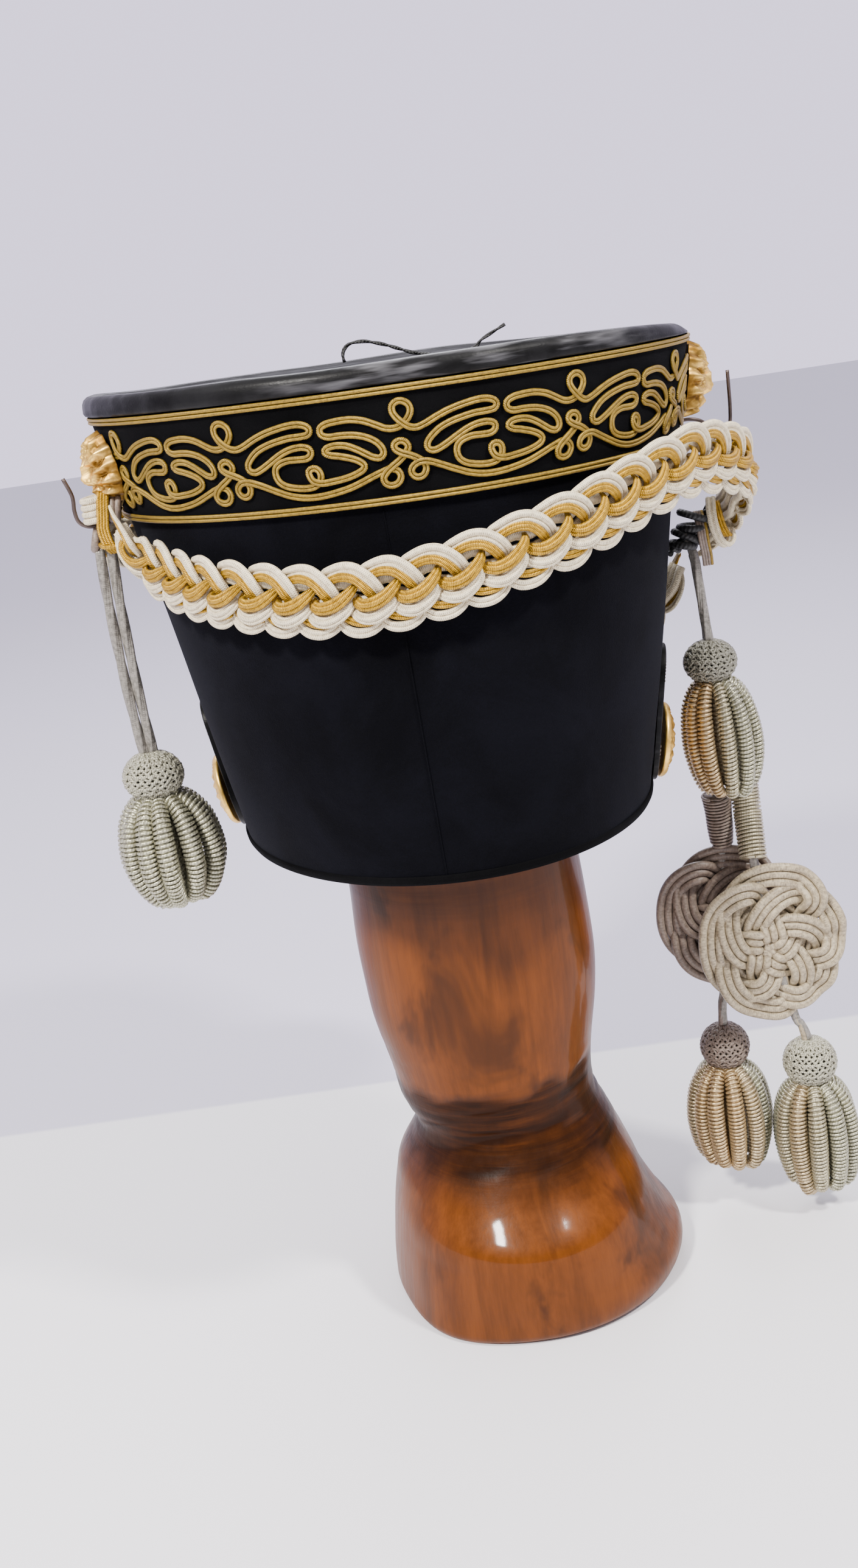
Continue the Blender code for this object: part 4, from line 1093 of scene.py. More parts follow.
def wound_shank(name, start, end, points, finish):
    """A neck closely wound with bullion wire."""
    # the winding's tone mixes in part of its finish's painted warm glow, where the finish has one
    middle, sunk, tone = (start + end) / 2, 0.0004, 0.3
    core = (smooth_path(points, 0.001), (start - sunk, middle - sunk, end - sunk), tone)
    winding = (*coil_run(points, (start, middle, end), SHANK_PITCH, SHANK_WIRE, 20), tone)
    return piece(name + "_winding", spin_cords([core, winding], sides=6), finish, (name,))


STEM_APART, STEM_DEEP = 0.0016, 0.0004  # how far its cords lie from the middle
STEM_CORD = 0.00145


def doubled_stem(name, path, finish):
    """The two cords side by side that a flounder's small tassel hangs by."""
    runs = []
    for side in (-1, 1):
        run = []
        for i, p in enumerate(path):
            twist = 0.9 * side * math.cos(math.pi * 0.8 * i / len(path))
            run.append(p + Vector((STEM_APART * twist, -STEM_DEEP * side, 0)))
        runs.append((run, STEM_CORD))
    return piece(name, spin_cords(runs, sides=10), finish)


cords = hang_cords()
tassels = hang_tassels()
flounders = {
    row[0]: woven_flounder(*row, finish)
    # the back flounder is the cream cord painted darker as the front flounder's shadow, and browner
    for row, finish in zip(FLOUNDERS, ("cream", "tan"))
}
shanks = {
    row[0]: wound_shank(*row, finish)
    # the back shank is darker than the front one as painted shade, and browner
    for row, finish in zip(SHANKS, ("bullion", "tan"))
}
stems = {
    side: doubled_stem(f"doubled_stem_{side}", smooth_path(points, CORD_STEP), finish)
    for side, finish, points in STEMS
}


# ---- the hat ------------------------------------------------------------------------------------


def to_right(x):
    """How far out towards the hat's right side a place is, from 0 to 1."""
    return within((x - LEAN_START_X) / LEAN_WIDTH)


def shape_hat():
    """The felt with its back seam and bound rim, and the velvet band laid round it."""
    lip = FELT_WALL * 0.3
    rise = [RIM_Z + 2 * lip + (FELT_TOP_Z - RIM_Z - 2 * lip) * i / 48 for i in range(49)]
    profile = ((-lip, RIM_Z), *((0.0, z) for z in rise),
               *((-FELT_WALL, z) for z in reversed(rise)), (-FELT_WALL + lip, RIM_Z))
    bm = oval_shell(profile)
    for vert in bm.verts:
        out = Vector((vert.co.x, vert.co.y, 0)).normalized()
        below_band = within((LOWER_BORDER_Z - 0.01 - vert.co.z) / 0.03)
        vert.co += out * below_band * 0.0011 * noise.noise(vert.co * 14.0)
        under_leather = within((vert.co.z - 0.4160) / 0.0035)
        vert.co.x -= FELT_LEAN * under_leather * to_right(vert.co.x) ** 6
    piece("felt_shell", bm, "felt", ("felt_body",), sharp=50)

    seam = [hat_point(-11.6, RIM_Z + 0.003 + i * 0.004, 0.0001) for i in range(36)]
    piece("back_seam", spin_cords([(seam, 0.00025)], sides=6), "felt")

    low, out = RIM_Z - 0.0002, 0.0009
    binding = ((-FELT_WALL - 0.0006, low + 0.0020), (-FELT_WALL * 0.5, low - 0.0003),
               (out * 0.4, low), (out, low + 0.0012), (out, low + 0.0026), (0.0002, low + 0.0036),
               (-FELT_WALL * 0.5, low + 0.0025))
    piece("rim_binding", oval_shell(binding, 288), "velvet")

    band_top = UPPER_BORDER_Z + BORDER_HEIGHT
    rise = [LOWER_BORDER_Z + (band_top - LOWER_BORDER_Z) * i / 10 for i in range(11)]
    profile = (*((GAP + VELVET, z) for z in rise), *((GAP, z) for z in reversed(rise)))
    piece("velvet_ground", oval_shell(profile), "velvet", ("velvet_band",), sharp=50)


def lay_borders():
    """Each border is a braid of two round ridges, laid on the velvet right round the hat."""
    turns = [360 * i / 300 for i in range(300)]
    out = 2 * GAP + VELVET + RIDGE_RADIUS * 0.7
    for name, low, node in (("braid_lower", LOWER_BORDER_Z, "border_lower"),
                            ("braid_upper", UPPER_BORDER_Z, "border_upper")):
        runs = []
        for share in (0.26, 0.74):
            z = low + share * BORDER_HEIGHT
            runs.append(([hat_point(turn, z, out) for turn in turns], RIDGE_RADIUS))
        piece(name, spin_cords(runs, sides=10, closed=True), "braid", (node,))


def scroll_layout():
    """The azimuth of each repeat's knot and its width, right round the hat."""
    first, last = SCROLL_KNOTS[0], SCROLL_KNOTS[-1]
    spread = SCROLL_REPEATS - len(SCROLL_KNOTS) + 1
    front = (360 - (last - first)) / spread
    knots = [*SCROLL_KNOTS, *(last + front * i for i in range(1, spread + 1))]
    return [(a, b - a) for a, b in zip(knots, knots[1:])]


def crossings_lifted(flat):
    """Raises a line a little wherever it passes over an earlier stretch of itself."""
    cell = 0.0016
    seen, raised = {}, [0.0] * len(flat)
    for i, p in enumerate(flat):
        key = (round(p.x / cell), round(p.y / cell))
        near = [j for dx in (-1, 0, 1) for dy in (-1, 0, 1)
                for j in seen.get((key[0] + dx, key[1] + dy), ())]
        if any(i - j > 12 and (flat[j] - p).length < cell for j in near):
            raised[i] = 1.0
        seen.setdefault(key, []).append(i)
    count = len(flat)
    return [max(raised[(i + k) % count] * (1 - abs(k) / 6) for k in range(-5, 6))
            for i in range(count)]


def embroider():
    """The scrollwork: two lines of braid drawn flat, then laid round the hat on the velvet."""
    runs = []
    base = 2 * GAP + VELVET
    whole = 2 * math.pi * CROWN_HALF_Y
    for drawing in (UPPER_SCROLL, LOWER_SCROLL):
        points = []
        for knot, width in scroll_layout():
            for aside, z in drawing:
                azimuth = knot + aside * width / SCROLL_WIDTH
                high = SCROLL_MIDDLE_Z + (z - SCROLL_MIDDLE_Z) * SCROLL_STRETCH
                points.append((math.radians(azimuth) * CROWN_HALF_Y, high / 1000, 0))
        ends = [(points[-1][0] - whole, *points[-1][1:]), *points,
                *((x + whole, y, z) for x, y, z in points[:2])]
        flat = smooth_path(ends, SCROLL_STEP)
        near = 60  # the line's first and last points, among which it meets itself
        start = max(i for i, p in enumerate(flat[:near])
                    if (p - Vector(points[0])).length < SCROLL_STEP)
        stop = min(i for i, p in enumerate(flat[-near:]) if p.x >= points[0][0] + whole)
        flat = flat[start:len(flat) - near + stop]
        lift = crossings_lifted(flat)
        count = len(flat)
        for side in (-1, 1):
            run = []
            for i, p in enumerate(flat):
                ahead, behind = flat[(i + 1) % count], flat[i - 1]
                step = Vector((ahead.x - behind.x, ahead.y - behind.y, 0))
                step.x = (step.x + whole / 2) % whole - whole / 2
                step.normalize()
                x = p.x - step.y * side * RIDGE_OFFSET
                z = p.y + step.x * side * RIDGE_OFFSET
                out = base + RIDGE_RADIUS * (0.65 + 1.1 * lift[i])
                run.append(hat_point(math.degrees(x / CROWN_HALF_Y), z, out))
            runs.append((run, RIDGE_RADIUS))
    piece("scrollwork", spin_cords(runs, sides=6, closed=True), "braid")


# the turned-down edge: distance out from the felt and height, from inside round to the top
CROWN_EDGE = (
    (2 * GAP, CROWN_TOP_Z - CROWN_LEATHER), (2 * GAP, CROWN_TURN_DOWN_Z + 0.0004),
    (0.0012, CROWN_TURN_DOWN_Z), (CROWN_EDGE_OUT - 0.0006, CROWN_TURN_DOWN_Z),
    (CROWN_EDGE_OUT, CROWN_TURN_DOWN_Z + 0.0006), (CROWN_EDGE_OUT, CROWN_TURN_DOWN_Z + 0.0018),
    (CROWN_EDGE_OUT - 0.0002, CROWN_TOP_Z - 0.0018),
    (CROWN_EDGE_OUT - 0.0009, CROWN_TOP_Z - 0.0009),
    (CROWN_EDGE_OUT - 0.0022, CROWN_TOP_Z - 0.0003), (CROWN_EDGE_OUT - 0.0040, CROWN_TOP_Z),
    (-0.0035, CROWN_TOP_Z - 0.0003), (-0.0060, CROWN_TOP_Z - 0.0010),
    (-0.0100, CROWN_TOP_Z - 0.0013),
)
# the disc inside the edge, from below round to the top: share of the width, depth below the top
CROWN_DISC = (
    (0.02, 0.0025), (0.4, 0.0025), (0.75, 0.0024), (0.90, 0.0022), (0.962, 0.0020),
    (0.966, 0.0003), (0.94, 0.0005), (0.90, 0.0010), (0.75, 0.0011), (0.4, 0.0014), (0.02, 0.0015),
)
CROWN_SHARES = (0.06, 0.18, 0.35, 0.55, 0.75, 0.88)  # rings under the disc
CROWN_LOWEST, CROWN_UNDER_DISC = 0.0042, 0.0030  # depths of those rings below the top


def cover_crown():
    """The leather top: turned down over the felt's edge, with a rolled edge and a sunk middle."""
    half_x, half_y = hat_half_widths(FELT_TOP_Z)

    def ring(share, sink):
        return half_x * share, half_y * share, CROWN_TOP_Z - sink, 0.0

    top = [*(ring(share, CROWN_LOWEST) for share in CROWN_SHARES),
           *((half_x + out, half_y + out, z, 0.0) for out, z in CROWN_EDGE),
           *(ring(share, CROWN_UNDER_DISC) for share in CROWN_SHARES[-2::-1])]
    disc = [ring(*row) for row in CROWN_DISC]
    for name, rows, finish, nodes in (("leather_top", top, "leather", ("leather_crown",)),
                                      ("leather_disc", disc, "rim", ())):
        bm = close_ends(stacked_ovals(rows, 192))
        for vert in bm.verts:
            vert.co = settled(vert.co, half_x, half_y)
        piece(name, bm, finish, nodes, sharp=60)


def settled(spot, half_x, half_y):
    """A point of the crown as it has warped: up at the back, in and down at the right."""
    x, y, z = spot
    free = within((z - CROWN_TURN_DOWN_Z) / (CROWN_TOP_Z - CROWN_TURN_DOWN_Z))
    forward = within(y / half_y)
    middle = within(6.0 - 6.0 * math.hypot(x / half_x, y / half_y))
    right = to_right(x)
    rise = (CROWN_BACK_RISE * (1 - forward**2 * (3 - 2 * forward)) * (1 - 0.75 * middle)
            - CROWN_RIGHT_DROP * right**1.5)
    x -= (CROWN_LEAN_BELOW + CROWN_LEAN_ABOVE * free) * right**6
    z += free * (rise + 0.0007 * noise.noise(Vector(spot) * 22.0))
    out = Vector((x, y, 0)).normalized() * 0.0006 * noise.noise(Vector((x, y, z)) * 30.0)
    return Vector((x, y, z)) + out


def peak_point(across, share, lift=0.0):
    """A point on the peak's upper face: across from -1 to 1, share of its depth from 0 to 1."""
    azimuth = 180 + PEAK_HALF_ANGLE * across
    clear_of_felt = GAP + PEAK_SLOPE * PEAK_LEATHER + 0.0004
    inner = hat_point(azimuth, RIM_Z + PEAK_ABOVE_RIM, clear_of_felt)
    turn = math.radians(azimuth)
    reach = (PEAK_END_DEPTH + PEAK_DEPTH * max(0.0, 1 - across**2) ** 0.8) * share
    drop = PEAK_SLOPE * reach + PEAK_CURL * reach**2
    outward = Vector((math.sin(turn), -math.cos(turn), 0))
    return inner + outward * reach - Vector((0, 0, drop - lift))


def cut_peak():
    """The leather peak, with a bound edge and a line of stitching inside it."""
    bm = bmesh.new()
    bmesh.ops.create_grid(bm, x_segments=72, y_segments=14, size=1.0)
    for vert in bm.verts:
        across, share = vert.co.x, (vert.co.y + 1) / 2
        vert.co = peak_point(across, share * 0.995)
    bmesh.ops.recalc_face_normals(bm, faces=bm.faces)
    if sum(face.normal.z for face in bm.faces) < 0:
        bmesh.ops.reverse_faces(bm, faces=bm.faces)
    bmesh.ops.solidify(bm, geom=bm.faces[:], thickness=PEAK_LEATHER * 0.9)
    piece("peak_leather", bm, "leather", ("peak",), sharp=50)
    spread = [2 * i / 160 - 1 for i in range(161)]
    edge = [peak_point(a, 1.0, -PEAK_LEATHER * 0.45) for a in spread]
    stitches, last, line = [], 77, 0.90  # the row of stitches lies at this share of its depth
    for k in range(last + 1):
        a = 1.90 * (k / last - 0.5)
        stitches.append(([peak_point(a, line, 0.0002), peak_point(a + 0.007, line, 0.0005),
                          peak_point(a + 0.014, line, 0.0002)], 0.00032))
    piece("peak_binding", spin_cords([(edge, 0.0019)], sides=10), "rim")
    piece("peak_stitches", spin_cords(stitches, sides=6), "black")


def tie_crown():
    """A thin black cord that loops up from a stitch in the crown."""
    path = smooth_path(CROWN_TIE, CORD_STEP)
    runs = [(wound_round(path, 0.00030, lambda i: math.pi * k + 2 * math.pi * i / 12),
             (0.00062, 0.00060, 0.00052)) for k in range(2)]
    piece("crown_tie_cord", spin_cords(runs, sides=6), "black", ("crown_tie",))


# ---- metal fittings -----------------------------------------------------------------------------


# the lion's face, in a unit disc: height, place across and up, width and height of each swelling
MASK_FEATURES = (
    (0.12, 0.00, -0.05, 0.50, 0.55), (0.20, 0.00, 0.08, 0.11, 0.30),  # face, bridge of the nose
    (0.12, 0.00, -0.13, 0.16, 0.09), (0.20, 0.15, -0.27, 0.16, 0.13),  # tip of the nose, muzzle
    (-0.16, 0.00, -0.40, 0.22, 0.045), (-0.10, 0.00, -0.27, 0.03, 0.09),  # mouth, cleft above it
    (0.13, 0.00, -0.53, 0.16, 0.08), (0.07, 0.38, -0.12, 0.12, 0.15),  # chin, cheeks
    (0.11, 0.24, 0.10, 0.07, 0.055), (-0.15, 0.24, 0.10, 0.15, 0.11),  # eyes, and their hollows
    (0.13, 0.47, 0.50, 0.12, 0.12), (-0.10, 0.46, 0.48, 0.05, 0.06),  # ears, and their hollows
)
MASK_LOCKS = 13  # locks round the mane's edge


def mask_relief(x, y):
    """Height of the lion mask over a unit disc: mane in two rows of locks, and the face."""
    r = min(1.0, math.hypot(x, y))
    turn = math.atan2(x, y)
    ax, side = abs(x), math.copysign(1, x)
    dome = math.sqrt(max(0.0, 1 - r * r)) ** 0.75
    mane = 0.105 * math.cos(MASK_LOCKS * turn + 5.0 * (r - 0.8) * side) * bell(r, 0.80, 0.17)
    mane += 0.090 * math.cos(11 * turn + 1.6 + 6.0 * (r - 0.6) * side) * bell(r, 0.60, 0.11)
    mane += 0.026 * math.cos(39 * turn + 14 * r) * bell(r, 0.72, 0.20)
    for height, scale, layer in ((0.055, 7, 2), (0.045, 17, 5)):
        mane += height * noise.noise(Vector((scale * x, scale * y, layer))) * min(1.0, 2.2 * r)
    face = sum(height * bell(ax, across, wide) * bell(y, up, tall)
               for height, across, up, wide, tall in MASK_FEATURES)
    brows = 0.13 * bell(ax, 0.24, 0.17) * bell(y, 0.27 + 0.25 * (ax - 0.24), 0.065)
    return 0.62 * dome + mane + face + brows


def cast_mask(side, azimuth, z, height):
    """A gilt lion mask, with a flat back, that stands on the velvet."""
    bm = bmesh.new()
    bmesh.ops.create_uvsphere(bm, u_segments=144, v_segments=96, radius=1.0)
    carry = hat_frame(azimuth, z, 2 * GAP + VELVET + BORDER_RELIEF * 0.6)
    heights = []
    for vert in bm.verts:
        x, y, front = vert.co
        r = math.hypot(x, y)
        locks = 1 + 0.045 * math.cos(MASK_LOCKS * math.atan2(x, y)) * r
        tall = max(0.0, mask_relief(x, y)) if front > -1e-6 else 0.0
        edge = 0.25 + 0.75 * min(1.0, 3 * max(0.0, 1 - r) ** 0.5)
        heights.append(within((tall - 0.50 * math.sqrt(max(0.0, 1 - r * r))) * 2.2))
        vert.co = carry @ Vector((x * locks * BOSS_WIDTH / 2, y * locks * height / 2,
                                  BOSS_PROUD * tall * edge))
    obj = piece(f"lion_mask_{side}", bm, "gilt", (f"lion_boss_{side}",), merge=False)
    keep_values(obj.data, "proud", heights)


TAB_SIDES, TAB_SEAMS, TAB_SEAM_GAP = 96, 4, 0.0035  # corners of its outline; cuts that let it bend


def cut_tab(side, azimuth, z):
    """The leather tab under a rosette: wide and round below, narrower above, stitched round."""
    bm = bmesh.new()
    outline = []
    for k in range(TAB_SIDES):
        turn = 2 * math.pi * (k + 0.5) / TAB_SIDES
        radius, rise = (TAB_TOP_RADIUS, TAB_RISE) if k < TAB_SIDES / 2 else (TAB_RADIUS, 0.0)
        outline.append((radius * math.cos(turn), rise + radius * math.sin(turn)))
    bm.faces.new([bm.verts.new((x, y, 0)) for x, y in outline])
    for k in range(-TAB_SEAMS, TAB_SEAMS + 1):
        bmesh.ops.bisect_plane(bm, geom=[*bm.verts, *bm.edges, *bm.faces], dist=1e-6,
                               plane_co=(TAB_SEAM_GAP * k, 0, 0), plane_no=(1, 0, 0))
    bmesh.ops.solidify(bm, geom=bm.faces[:], thickness=-TAB_THICK)
    rims = [e for e in bm.edges if len(e.link_faces) == 2 and e.calc_face_angle(0) > 1.0
            and min(v.co.z for v in e.verts) > TAB_THICK * 0.5]
    bmesh.ops.bevel(bm, geom=rims, offset=0.0007, segments=3, profile=0.5, affect="EDGES",
                    material=-1)
    carry = hat_frame(azimuth, z, 0.0)
    for vert in bm.verts:
        flat = Vector((vert.co.x, vert.co.y, 0))
        vert.co = onto_felt(carry @ flat, 2 * GAP + 0.8 * vert.co.z)
    piece(f"tab_{side}", bm, "leather", (f"strap_tab_{side}",), sharp=40)
    stitches = []
    for k in range(0, TAB_SIDES, 2):
        ends = (Vector((x * 0.86, y * 0.86 + 0.002, 0)) for x, y in outline[k:k + 2])
        stitches.append(([onto_felt(carry @ p, 2 * GAP + 0.8 * TAB_THICK) for p in ends], 0.0003))
    piece(f"tab_stitches_{side}", spin_cords(stitches, sides=6), "tan")


# share of the radius, share of the height
ROSETTE_PROFILE = (
    (0.001, 1.00), (0.10, 0.99), (0.18, 0.93), (0.23, 0.80), (0.25, 0.66), (0.30, 0.62),
    (0.36, 0.70), (0.46, 0.76), (0.58, 0.74), (0.68, 0.64), (0.76, 0.50), (0.80, 0.42),
    (0.84, 0.44), (0.90, 0.46), (0.96, 0.38), (1.00, 0.22), (1.00, 0.06), (0.97, 0.0),
    (0.001, 0.0),
)
ROSETTE_PETALS, ROSETTE_BEADS = 12, 48


def turn_rosette(side, azimuth, z):
    """A struck gilt button: a domed middle, a ring of petals and a rolled, beaded edge."""
    radius, proud = ROSETTE_RADIUS, ROSETTE_PROUD
    bm = bmesh.new()
    chain = [bm.verts.new((r * radius, 0, h * proud)) for r, h in ROSETTE_PROFILE]
    edges = [bm.edges.new(pair) for pair in zip(chain, chain[1:])]
    bmesh.ops.spin(bm, geom=[*chain, *edges], cent=(0, 0, 0), axis=(0, 0, 1), dvec=(0, 0, 0),
                   angle=2 * math.pi, steps=144, use_merge=True, use_duplicate=False)
    bmesh.ops.remove_doubles(bm, verts=bm.verts, dist=0.00003)
    bmesh.ops.recalc_face_normals(bm, faces=bm.faces)
    carry = hat_frame(azimuth, z, 3 * GAP + TAB_THICK)
    heights = []
    for vert in bm.verts:
        r = math.hypot(vert.co.x, vert.co.y) / radius
        turn = math.atan2(vert.co.y, vert.co.x)
        petal = math.cos(ROSETTE_PETALS * turn) * bell(r, 0.54, 0.15)
        bead = math.cos(ROSETTE_BEADS * turn) * bell(r, 0.90, 0.04)
        heights.append(within(0.55 + 0.4 * petal + 0.3 * bead))
        if vert.co.z > 0.1 * proud:
            vert.co.z += 0.0006 * petal + 0.00022 * bead
        vert.co = carry @ vert.co
    obj = piece(f"gilt_rosette_{side}", bm, "gilt", (f"rosette_{side}",), sharp=60, merge=False)
    keep_values(obj.data, "proud", heights)


def bend_hooks():
    """The wire hooks that the cap lines hang from."""
    for side, points in (("left", HOOK_LEFT), ("right", HOOK_RIGHT)):
        path = smooth_path(points, 0.0010)
        obj = piece(f"wire_hook_{side}", spin_cords([(path, 0.0008)], sides=10), "wire",
                    (f"hook_{side}",))
        keep_values(obj.data, "proud", [0.5] * len(obj.data.vertices))


# ---- plaits and lashings ------------------------------------------------------------------------


class Lay:
    """A plait's line on the hat, with its directions along, up and out at any length."""

    def __init__(self, route):
        self.path = smooth_path(route, 0.001)
        self.at = [0.0]
        for a, b in zip(self.path, self.path[1:]):
            self.at.append(self.at[-1] + (b - a).length)
        self.length = self.at[-1]

    def frame(self, s):
        """The line's place at a length, and its directions along, up and out there."""
        last = len(self.path) - 2
        i = min(last, max(0, int(s / self.length * (last + 1))))
        while i < last and self.at[i + 1] < s:
            i += 1
        while i > 0 and self.at[i] > s:
            i -= 1
        share = (s - self.at[i]) / (self.at[i + 1] - self.at[i])
        middle = self.path[i].lerp(self.path[i + 1], share)
        ahead = self.path[min(i + 6, last + 1)]
        behind = self.path[max(i - 5, 0)]
        tangent = (ahead - behind).normalized()
        outward = Vector((middle.x, middle.y, 0)).normalized()
        outward = (outward - tangent * outward.dot(tangent)).normalized()
        return middle, tangent, outward.cross(tangent), outward

    def point(self, s, up, out):
        """A place beside the line, which goes straight on past each end."""
        on_line = min(self.length, max(0.0, s))
        middle, tangent, upward, outward = self.frame(on_line)
        return (middle + tangent * (s - on_line)
                + (upward * up + outward * out) * self.narrow(s))

    def narrow(self, s):
        """How full the plait is, which thins towards its ends."""
        return 0.62 + 0.38 * within(min(s, self.length - s) / PLAIT_END_TAPER)


def stitch_strand(lay, crest, stretch, points, threads, fullness, shift):
    """The threads of one band of a stitch; all of its measures are millimetres."""
    flat = smooth_path([(u * stretch + shift[0], v + shift[1], w) for u, v, w in points], 0.9)
    full = fade(fullness, len(flat))
    runs = []
    for aside, radius, rise in threads:
        run, radii = [], []
        for i, p in enumerate(flat):
            ahead, behind = flat[min(i + 1, len(flat) - 1)], flat[max(i - 1, 0)]
            step = Vector((ahead.x - behind.x, ahead.y - behind.y, 0)).normalized()
            s = crest + (p.x - step.y * aside * full[i]) / 1000
            up = (p.y + step.x * aside * full[i]) / 1000
            run.append(lay.point(s, up, (p.z + rise) / 1000))
            radii.append(radius / 1000 * full[i] * lay.narrow(s))
        runs.append((run, radii))
    return runs


def plait_stitches(lay, crests, finish):
    """The bands of one colour in every stitch."""
    runs = []
    for n, crest in enumerate(crests):
        gap = crests[min(n + 1, len(crests) - 1)] - crests[max(n - 1, 0)]
        stretch = 1000 * gap / (2 * STITCH_LENGTH) if 0 < n < len(crests) - 1 else 1.0
        wobble = 0.3 * noise.noise(Vector((n * 1.7, 0, lay.length)))
        (_, most_along, most_up), (reach, *_) = BELOW_SHIFT  # it fades out at that reach
        left = max(0.0, 1 - crest / reach)
        for rows, shift in ((STITCH, (0, wobble)),
                            (STITCH_BELOW, (most_along * left, most_up * left + wobble))):
            for colour, threads, fullness, points in rows:
                if colour == finish:
                    runs += stitch_strand(lay, crest, stretch, points, threads, fullness, shift)
    return runs


def plait_backing(lay):
    """Three wavy cords behind the stitches, which fill the plait."""
    runs = []
    for up, out in STITCH_BACKING:
        run = []
        count = int(lay.length / 0.003)
        for i in range(count + 1):
            s = lay.length * (0.01 + 0.98 * i / count)
            wave = math.sin(2000 * math.pi * s / STITCH_LENGTH)
            run.append(lay.point(s, (up + wave) / 1000, out / 1000))
        runs.append((run, 0.0020))
    return runs


def lay_plaits():
    """The festoons at the back and front, each with its white and its gold strands."""
    back, front = ([hat_point(azimuth, z, *out or (PLAIT_OUT,)) for azimuth, z, *out in route]
                   for route in (BACK_PLAIT_ON_HAT, FRONT_PLAIT_ON_HAT))
    back_lay = Lay([*BACK_PLAIT_LEFT_END, *back, *BACK_PLAIT_RIGHT_END])
    front_lay = Lay([*FRONT_PLAIT_RIGHT_END, *front, *FRONT_PLAIT_LEFT_END])
    count = round(front_lay.length / FRONT_PLAIT_STITCH)
    front_crests = [front_lay.length * (n + 0.5) / count for n in range(count)]
    for name, lay, crests in (
        ("festoon_back", back_lay, [crest / 1000 for crest in BACK_PLAIT_CRESTS]),
        ("festoon_front", front_lay, front_crests),
    ):
        white = plait_stitches(lay, crests, "white") + plait_backing(lay)
        gold = plait_stitches(lay, crests, "gold")
        piece(f"{name}_white_strands", spin_cords(white, sides=8), "white", (name,))
        piece(f"{name}_gold_strands", spin_cords(gold, sides=8), "gold", (name,))


def ring_round(centre, half, axis, tilt=0.0, steps=32):
    """A closed loop of cord across one axis (0 for X, 2 for Z), tilted a little."""
    run = []
    for i in range(steps):
        turn = 2 * math.pi * i / steps
        a, b = half[0] * math.cos(turn), half[1] * math.sin(turn)
        offset = (tilt * b, a, b) if axis == 0 else (a, b, tilt * a)
        run.append(Vector(centre) + Vector(offset))
    return run


def side_by_side(points, spread, radius):
    """Thin cords laid side by side along one line, spread along X."""
    path = smooth_path(points, 0.001)
    return [([p + Vector((aside, 0, 0)) for p in path], radius) for aside in spread]


def wrap_hook_left():
    """The cords' turns over the left hook: white behind, a gold band over it and a pale brown knot.
    """
    loops = [(ring_round((-0.1247, -0.0300, z), (0.0044, 0.0056), 2, 0.12), 0.00130)
             for z in (0.3880, 0.3854, 0.3828, 0.3803)]
    piece("hook_wrap_white", spin_cords(loops, sides=10, closed=True), "white", ("wrap_left",))
    band = side_by_side(HOOK_BAND, (-0.0017, -0.0006, 0.0005, 0.0016), 0.00082)
    band += side_by_side(HOOK_BAND_END, (0.0, 0.0004), 0.00095)
    piece("hook_wrap_gold", spin_cords(band, sides=8), "gold")
    knot = [(ring_round((x, -0.0300, 0.3838), (0.0062, 0.0046), 0, 0.2), 0.00125)
            for x in (-0.1182, -0.1160)]
    knot += [(ring_round((-0.1268, -0.0300, 0.3722), (0.0030, 0.0034), 0, 0.3), 0.0017)]
    piece("hook_knot", spin_cords(knot, sides=10, closed=True), "tan")


def lace_right():
    """Black cord that lashes the festoon's end to the hat, in several crossing turns."""
    path = smooth_path(LACING, CORD_STEP)
    runs = [(wound_round(path, 0.0017, lambda i: 2 * math.pi * (k / 3 + i * CORD_STEP / 0.016)),
             0.0012) for k in range(3)]
    piece("black_lacing", spin_cords(runs, sides=8), "black", ("lacing",))
    turns = []
    for x, y, z, half, tilt in (
        (0.1212, -0.0080, 0.3412, 0.0058, -0.42), (0.1200, -0.0085, 0.3366, 0.0056, -0.10),
        (0.1172, -0.0078, 0.3330, 0.0050, -0.55), (0.1150, -0.0085, 0.3300, 0.0046, -0.25),
    ):
        turns.append((ring_round((x, y, z), (half, 0.0060), 2, tilt), 0.00165))
    piece("lacing_turns", spin_cords(turns, sides=8, closed=True), "black")
    ends = side_by_side(FESTOON_ENDS, (-0.0018, -0.0007, 0.0005, 0.0016), 0.00076)
    piece("festoon_ends_tan", spin_cords(ends[:3], sides=8), "tan")
    piece("festoon_ends_gold", spin_cords(ends[3:], sides=8), "braid")
    for name, line, finish, lanes in (("outer", RIGHT_LOOP_WHITE, "white", (0.0, 0.0021)),
                                      ("inner", RIGHT_LOOP_GOLD, "gold", (0.0, 0.0013, 0.0026))):
        runs = side_by_side(line, lanes, 0.00115 if finish == "white" else 0.00075)
        piece(f"right_loop_{name}", spin_cords(runs, sides=8), finish)


# ---- the stand ----------------------------------------------------------------------------------


def section_at(z):
    """Half width, half depth and offset of the stand at a height, smoothly between the sections."""
    rows = STAND_SECTIONS
    for i in range(len(rows) - 1):
        if z <= rows[i + 1][0]:
            break
    a, b = rows[max(i - 1, 0)], rows[i]
    c, d = rows[i + 1], rows[min(i + 2, len(rows) - 1)]
    t = (z - b[0]) / (c[0] - b[0])
    result = []
    for k in (1, 2, 3):
        slope_b = (c[k] - a[k]) / max(1e-6, c[0] - a[0]) * (c[0] - b[0])
        slope_c = (d[k] - b[k]) / max(1e-6, d[0] - b[0]) * (c[0] - b[0])
        result.append((2 * t**3 - 3 * t**2 + 1) * b[k] + (t**3 - 2 * t**2 + t) * slope_b
                      + (3 * t**2 - 2 * t**3) * c[k] + (t**3 - t**2) * slope_c)
    return result


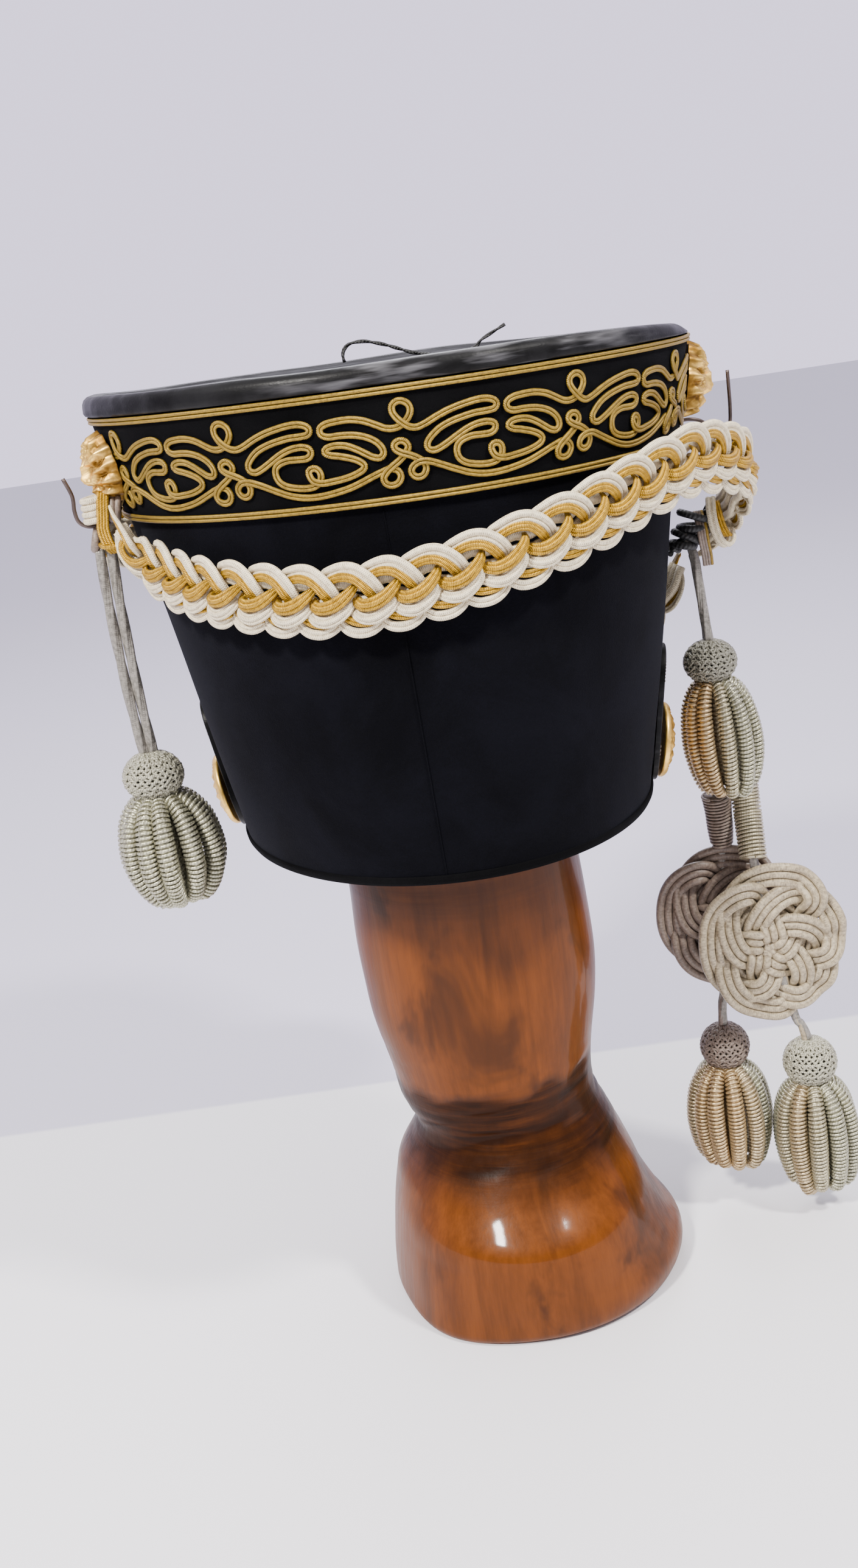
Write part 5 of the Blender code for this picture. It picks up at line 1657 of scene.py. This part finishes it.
def carve_stand():
    """The stand, with cut gouges, dark staining at its waist, painted shade just under the hat,
    and a fuller front shoulder.
    """
    heights = (*STAND_FOOT, *(STAND_FOOT[-1] + STAND_STEP * i for i in range(1, STAND_STEPS + 1)),
               *STAND_HEAD)
    levels = []
    for z in heights:
        wide, deep, aside = section_at(z)
        levels.append((wide, deep, z, aside))
    bm = close_ends(stacked_ovals(levels, 144))
    bm.verts.index_update()
    stains_and_shade = [0.0] * len(bm.verts)
    for vert in bm.verts:
        x, y, z = vert.co
        out = Vector((x, y, 0)).normalized()
        turn = math.atan2(x, -y)
        cut = noise.noise(Vector((x * 34 + z * 20, y * 34, z * 190 - x * 40)))
        dent = noise.noise(Vector((x * 9, y * 9, z * 11)))
        gouge = max(0.0, cut - 0.05) * bell(z, STAND_WAIST_Z, 0.022)
        spread = 0.011 if z > STAND_SHOULDER_Z else 0.032
        shoulder = max(0.0, math.cos(turn)) ** 2 * (
            STAND_SHOULDER * bell(z, STAND_SHOULDER_Z, spread) - 0.0008 * bell(z, 0.084, 0.012))
        corner = 0.0055 * max(0.0, 1 - z / 0.035) * bell(turn, -0.62, 0.45)
        vert.co += out * (0.0016 * dent * min(1.0, z / 0.006) + corner + shoulder
                          - 0.0022 * gouge)
        edge = noise.noise(Vector((math.sin(turn) * 3, math.cos(turn) * 3, 3.0))) * 0.006
        band = min(1.0, max(0.0, (z - STAND_STAIN_LOW + edge) / 0.016),
                   max(0.0, (STAND_STAIN_TOP + edge - z) / 0.006))
        # painted shade where the hat's brim overhangs the stand, uneven with the dents
        hat_shade = bell(z + edge, STAND_HAT_SHADE_Z, 0.016) * (0.60 + 0.9 * dent)
        stains_and_shade[vert.index] = within(0.92 * band + 0.9 * gouge + 0.7 * hat_shade)
    obj = piece("carved_stand", bm, "wood", ("wooden_stand",), sharp=60, merge=False)
    keep_values(obj.data, "stain_and_shade", stains_and_shade)


shape_hat()
lay_borders()
embroider()
cover_crown()
cut_peak()
tie_crown()
for row in BOSSES:
    cast_mask(*row)
for row in ROSETTES:
    cut_tab(*row)
    turn_rosette(*row)
bend_hooks()
lay_plaits()
wrap_hook_left()
lace_right()
carve_stand()
